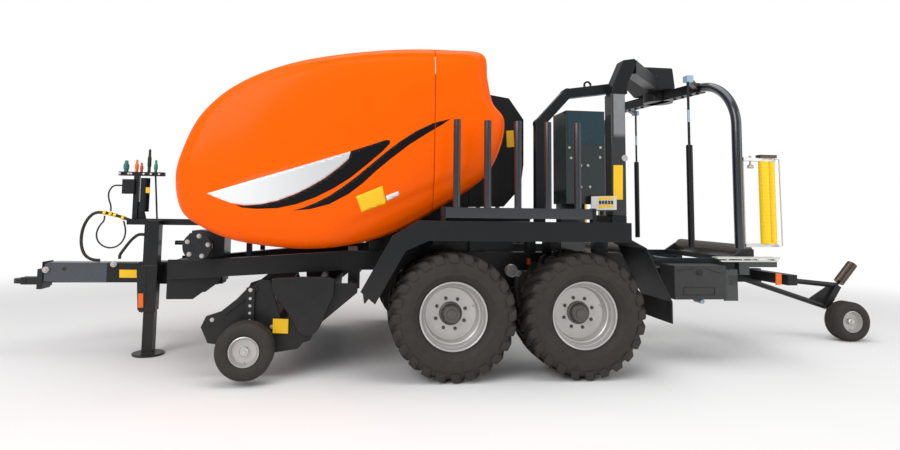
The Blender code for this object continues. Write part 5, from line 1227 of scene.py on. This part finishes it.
def make_pickup():
    """Frame of the pickup and the shroud on its left side."""
    pickup = Shape()
    for side in (-1, 1):
        pickup.slab(PICKUP_SIDE, *(side * y for y in PICKUP_SIDE_Y))
        pickup.rod(*((PIVOT_X, side * y, PIVOT_Z) for y in PIVOT_Y), PIVOT_RADIUS, 20)
        pickup.rod(*((BRACKET_PIN_X, side * y, SPINDLE_Z) for y in SPINDLE_Y), SPINDLE_RADIUS, 16)
        xs, ys, zs = PICKUP_STRIP
        pickup.box(xs, [side * y for y in ys], zs)
        pickup.bar(*((x, side * PICKUP_STAY_Y, z) for x, z in PICKUP_STAY), *PICKUP_STAY_SIZE)
    x, z, radius = CROSS_TUBE
    pickup.rod((x, -PICKUP_END_Y, z), (x, PICKUP_END_Y, z), radius, 24)
    pickup.slab(TROUGH, -PICKUP_END_Y, PICKUP_END_Y)
    pickup.done("pickup_sides", BLACK, "pickup", "painted_black", ["pickup_frame"], 30, 0.003)
    outline = [tuple(point) for point in through(SHROUD, 4, True)]
    Shape().slab(outline, *SHROUD_Y).done("pickup_shroud", BLACK, "pickup", smooth=25, bevel=0.008)


make_pickup()

# Satellite: hub, cross beam, bent arms and safety rods
BEAM_Z = 2.72
BEAM_HUB_Z = (2.67, 2.77)
BEAM_HUB_RADIUS = 0.16
BEAM_SIZE = (0.12, 0.10)
SIDE_BEAM_SIZE = 0.05
SIDE_BEAM_OVERLAP = 0.05
BEAM_BOLT_RADII = (0.28, 0.40, 0.52, 0.62)
BEAM_BOLT_Z = 2.6698
ARM_ANGLE = -80.0
ARM_REACH = 1.12
ARM_BEND = 0.45
ARM_RADIUS = 0.045
ARM_OVERLAP = 0.10
ARM_ZS = (2.20, 1.10)
ROD_ANGLE = -103.0
ROD_REACH = 1.03
SAFETY_ROD_Z = 1.6
SAFETY_ROD_RADIUS = 0.012
SAFETY_SLEEVE = [(0, 0), (0.026, 0), (0.030, 0.01), (0.030, 0.97), (0.024, 0.98), (0, 0.98)]


def round_axis(radius, degrees, z=BEAM_Z):
    """Place at a radius and an angle about the satellite's axis."""
    return (*around((SATELLITE_X, 0.0), radius, degrees), z)


def make_satellite():
    """Cross beam with two bent arms and two safety rods."""
    arms = Shape()
    beams = Shape().rod(*((SATELLITE_X, 0, z) for z in BEAM_HUB_Z), BEAM_HUB_RADIUS, 40)
    straight = ARM_REACH - ARM_BEND
    for turn in (0, 180):
        angle = ARM_ANGLE + turn
        beams.bar(round_axis(0, angle), round_axis(straight, angle), *BEAM_SIZE)
        beams.bar(round_axis(straight - SIDE_BEAM_OVERLAP, angle), round_axis(ROD_REACH, ROD_ANGLE + turn),
                  SIDE_BEAM_SIZE, SIDE_BEAM_SIZE)
        for radius in BEAM_BOLT_RADII:
            beams.bolt(round_axis(radius, angle, BEAM_BOLT_Z), (0, 0, -1), BOLT_HEAD_RADIUS)
        path = [round_axis(straight - ARM_OVERLAP, angle), round_axis(straight, angle)]
        for degrees in range(4, 91, 4):
            bend = math.radians(degrees)
            path.append(round_axis(straight + ARM_BEND * math.sin(bend), angle,
                                   BEAM_Z - ARM_BEND * (1 - math.cos(bend))))
        path += [round_axis(ARM_REACH, angle, z) for z in ARM_ZS]
        arms.tube(path, ARM_RADIUS, 28)
        foot = round_axis(ROD_REACH, ROD_ANGLE + turn, ARM_ZS[-1])
        beams.rod((*foot[:2], BEAM_Z), (*foot[:2], SAFETY_ROD_Z), SAFETY_ROD_RADIUS, 14)
        beams.lathe(SAFETY_SLEEVE, foot, (0, 0, 1), 24)
    arms.done("satellite_tubes", GLOSS, "satellite", replaces=["satellite_arms"], smooth=50)
    beams.done("satellite_beam", BLACK, "satellite", smooth=30, bevel=0.003)


make_satellite()


# Stage: a pale floor that fades into the white behind it
FLOOR_SIZE = 150
FLOOR_FADE_NEAR = 5.5
FLOOR_FADE_FAR = 11.0
FLOOR_TONE = (0.86, 0.90)
WORLD_LIGHT = 0.50
# Lamps: name, place, point looked at, size, power
LAMPS = [("key", (-7.0, -9.0, 7.0), (-0.3, 0.0, 1.2), 7.0, 620.0),
         ("top", (0.5, -1.0, 9.0), (0.3, 0.0, 1.0), 8.0, 420.0),
         ("rear_fill", (9.0, -6.0, 4.0), (1.5, 0.0, 1.2), 6.0, 180.0)]


def make_stage():
    """Floor, white surroundings and soft lamps."""
    bm = bmesh.new()
    bmesh.ops.create_grid(bm, x_segments=2, y_segments=2, size=FLOOR_SIZE)
    mesh = bpy.data.meshes.new("floor")
    bm.to_mesh(mesh)
    bm.free()
    floor = bpy.data.objects.new("floor", mesh)
    bpy.context.scene.collection.objects.link(floor)
    material = bpy.data.materials.new("pale_floor")
    mesh.materials.append(material)
    n = Tree(material)
    n.tree.nodes.clear()
    place = n.add("TexCoord").outputs["Object"]
    distance = n.add("VectorMath", {0: place}, operation="LENGTH").outputs["Value"]
    fade = n.add("MapRange", {"Value": distance, "From Min": FLOOR_FADE_NEAR, "From Max": FLOOR_FADE_FAR},
                 interpolation_type="SMOOTHSTEP")
    grain = n.add("TexNoise", {"Vector": place, "Scale": 0.8}).outputs["Fac"]
    tone = n.add("MapRange", {"Value": grain, "To Min": FLOOR_TONE[0], "To Max": FLOOR_TONE[1]})
    matt = n.add("BsdfDiffuse", {"Color": tone.outputs["Result"]})
    blend = n.add("MixShader", {0: fade.outputs["Result"], 1: matt.outputs["BSDF"],
                                2: n.add("Emission").outputs["Emission"]})
    n.add("OutputMaterial", {"Surface": blend.outputs["Shader"]})

    world = bpy.data.worlds.new("white_surroundings")
    bpy.context.scene.world = world
    n = Tree(world)
    n.tree.nodes.clear()
    path = n.add("LightPath")
    seen = n.add("MapRange", {"Value": path.outputs["Is Camera Ray"], "To Min": WORLD_LIGHT, "To Max": 1.0})
    light = n.add("Background", {"Color": (1.0, 1.0, 1.0, 1.0), "Strength": seen.outputs["Result"]})
    n.add("OutputWorld", {"Surface": light.outputs["Background"]})

    for name, place, target, size, power in LAMPS:
        data = bpy.data.lights.new(name, "AREA")
        data.shape = "SQUARE"
        data.size = size
        data.energy = power
        lamp = bpy.data.objects.new(name, data)
        lamp.location = place
        lamp.rotation_euler = (Vector(target) - Vector(place)).to_track_quat("-Z", "Y").to_euler()
        bpy.context.scene.collection.objects.link(lamp)
    view = bpy.context.scene.view_settings
    view.view_transform = "Standard"
    view.look = "None"


make_stage()
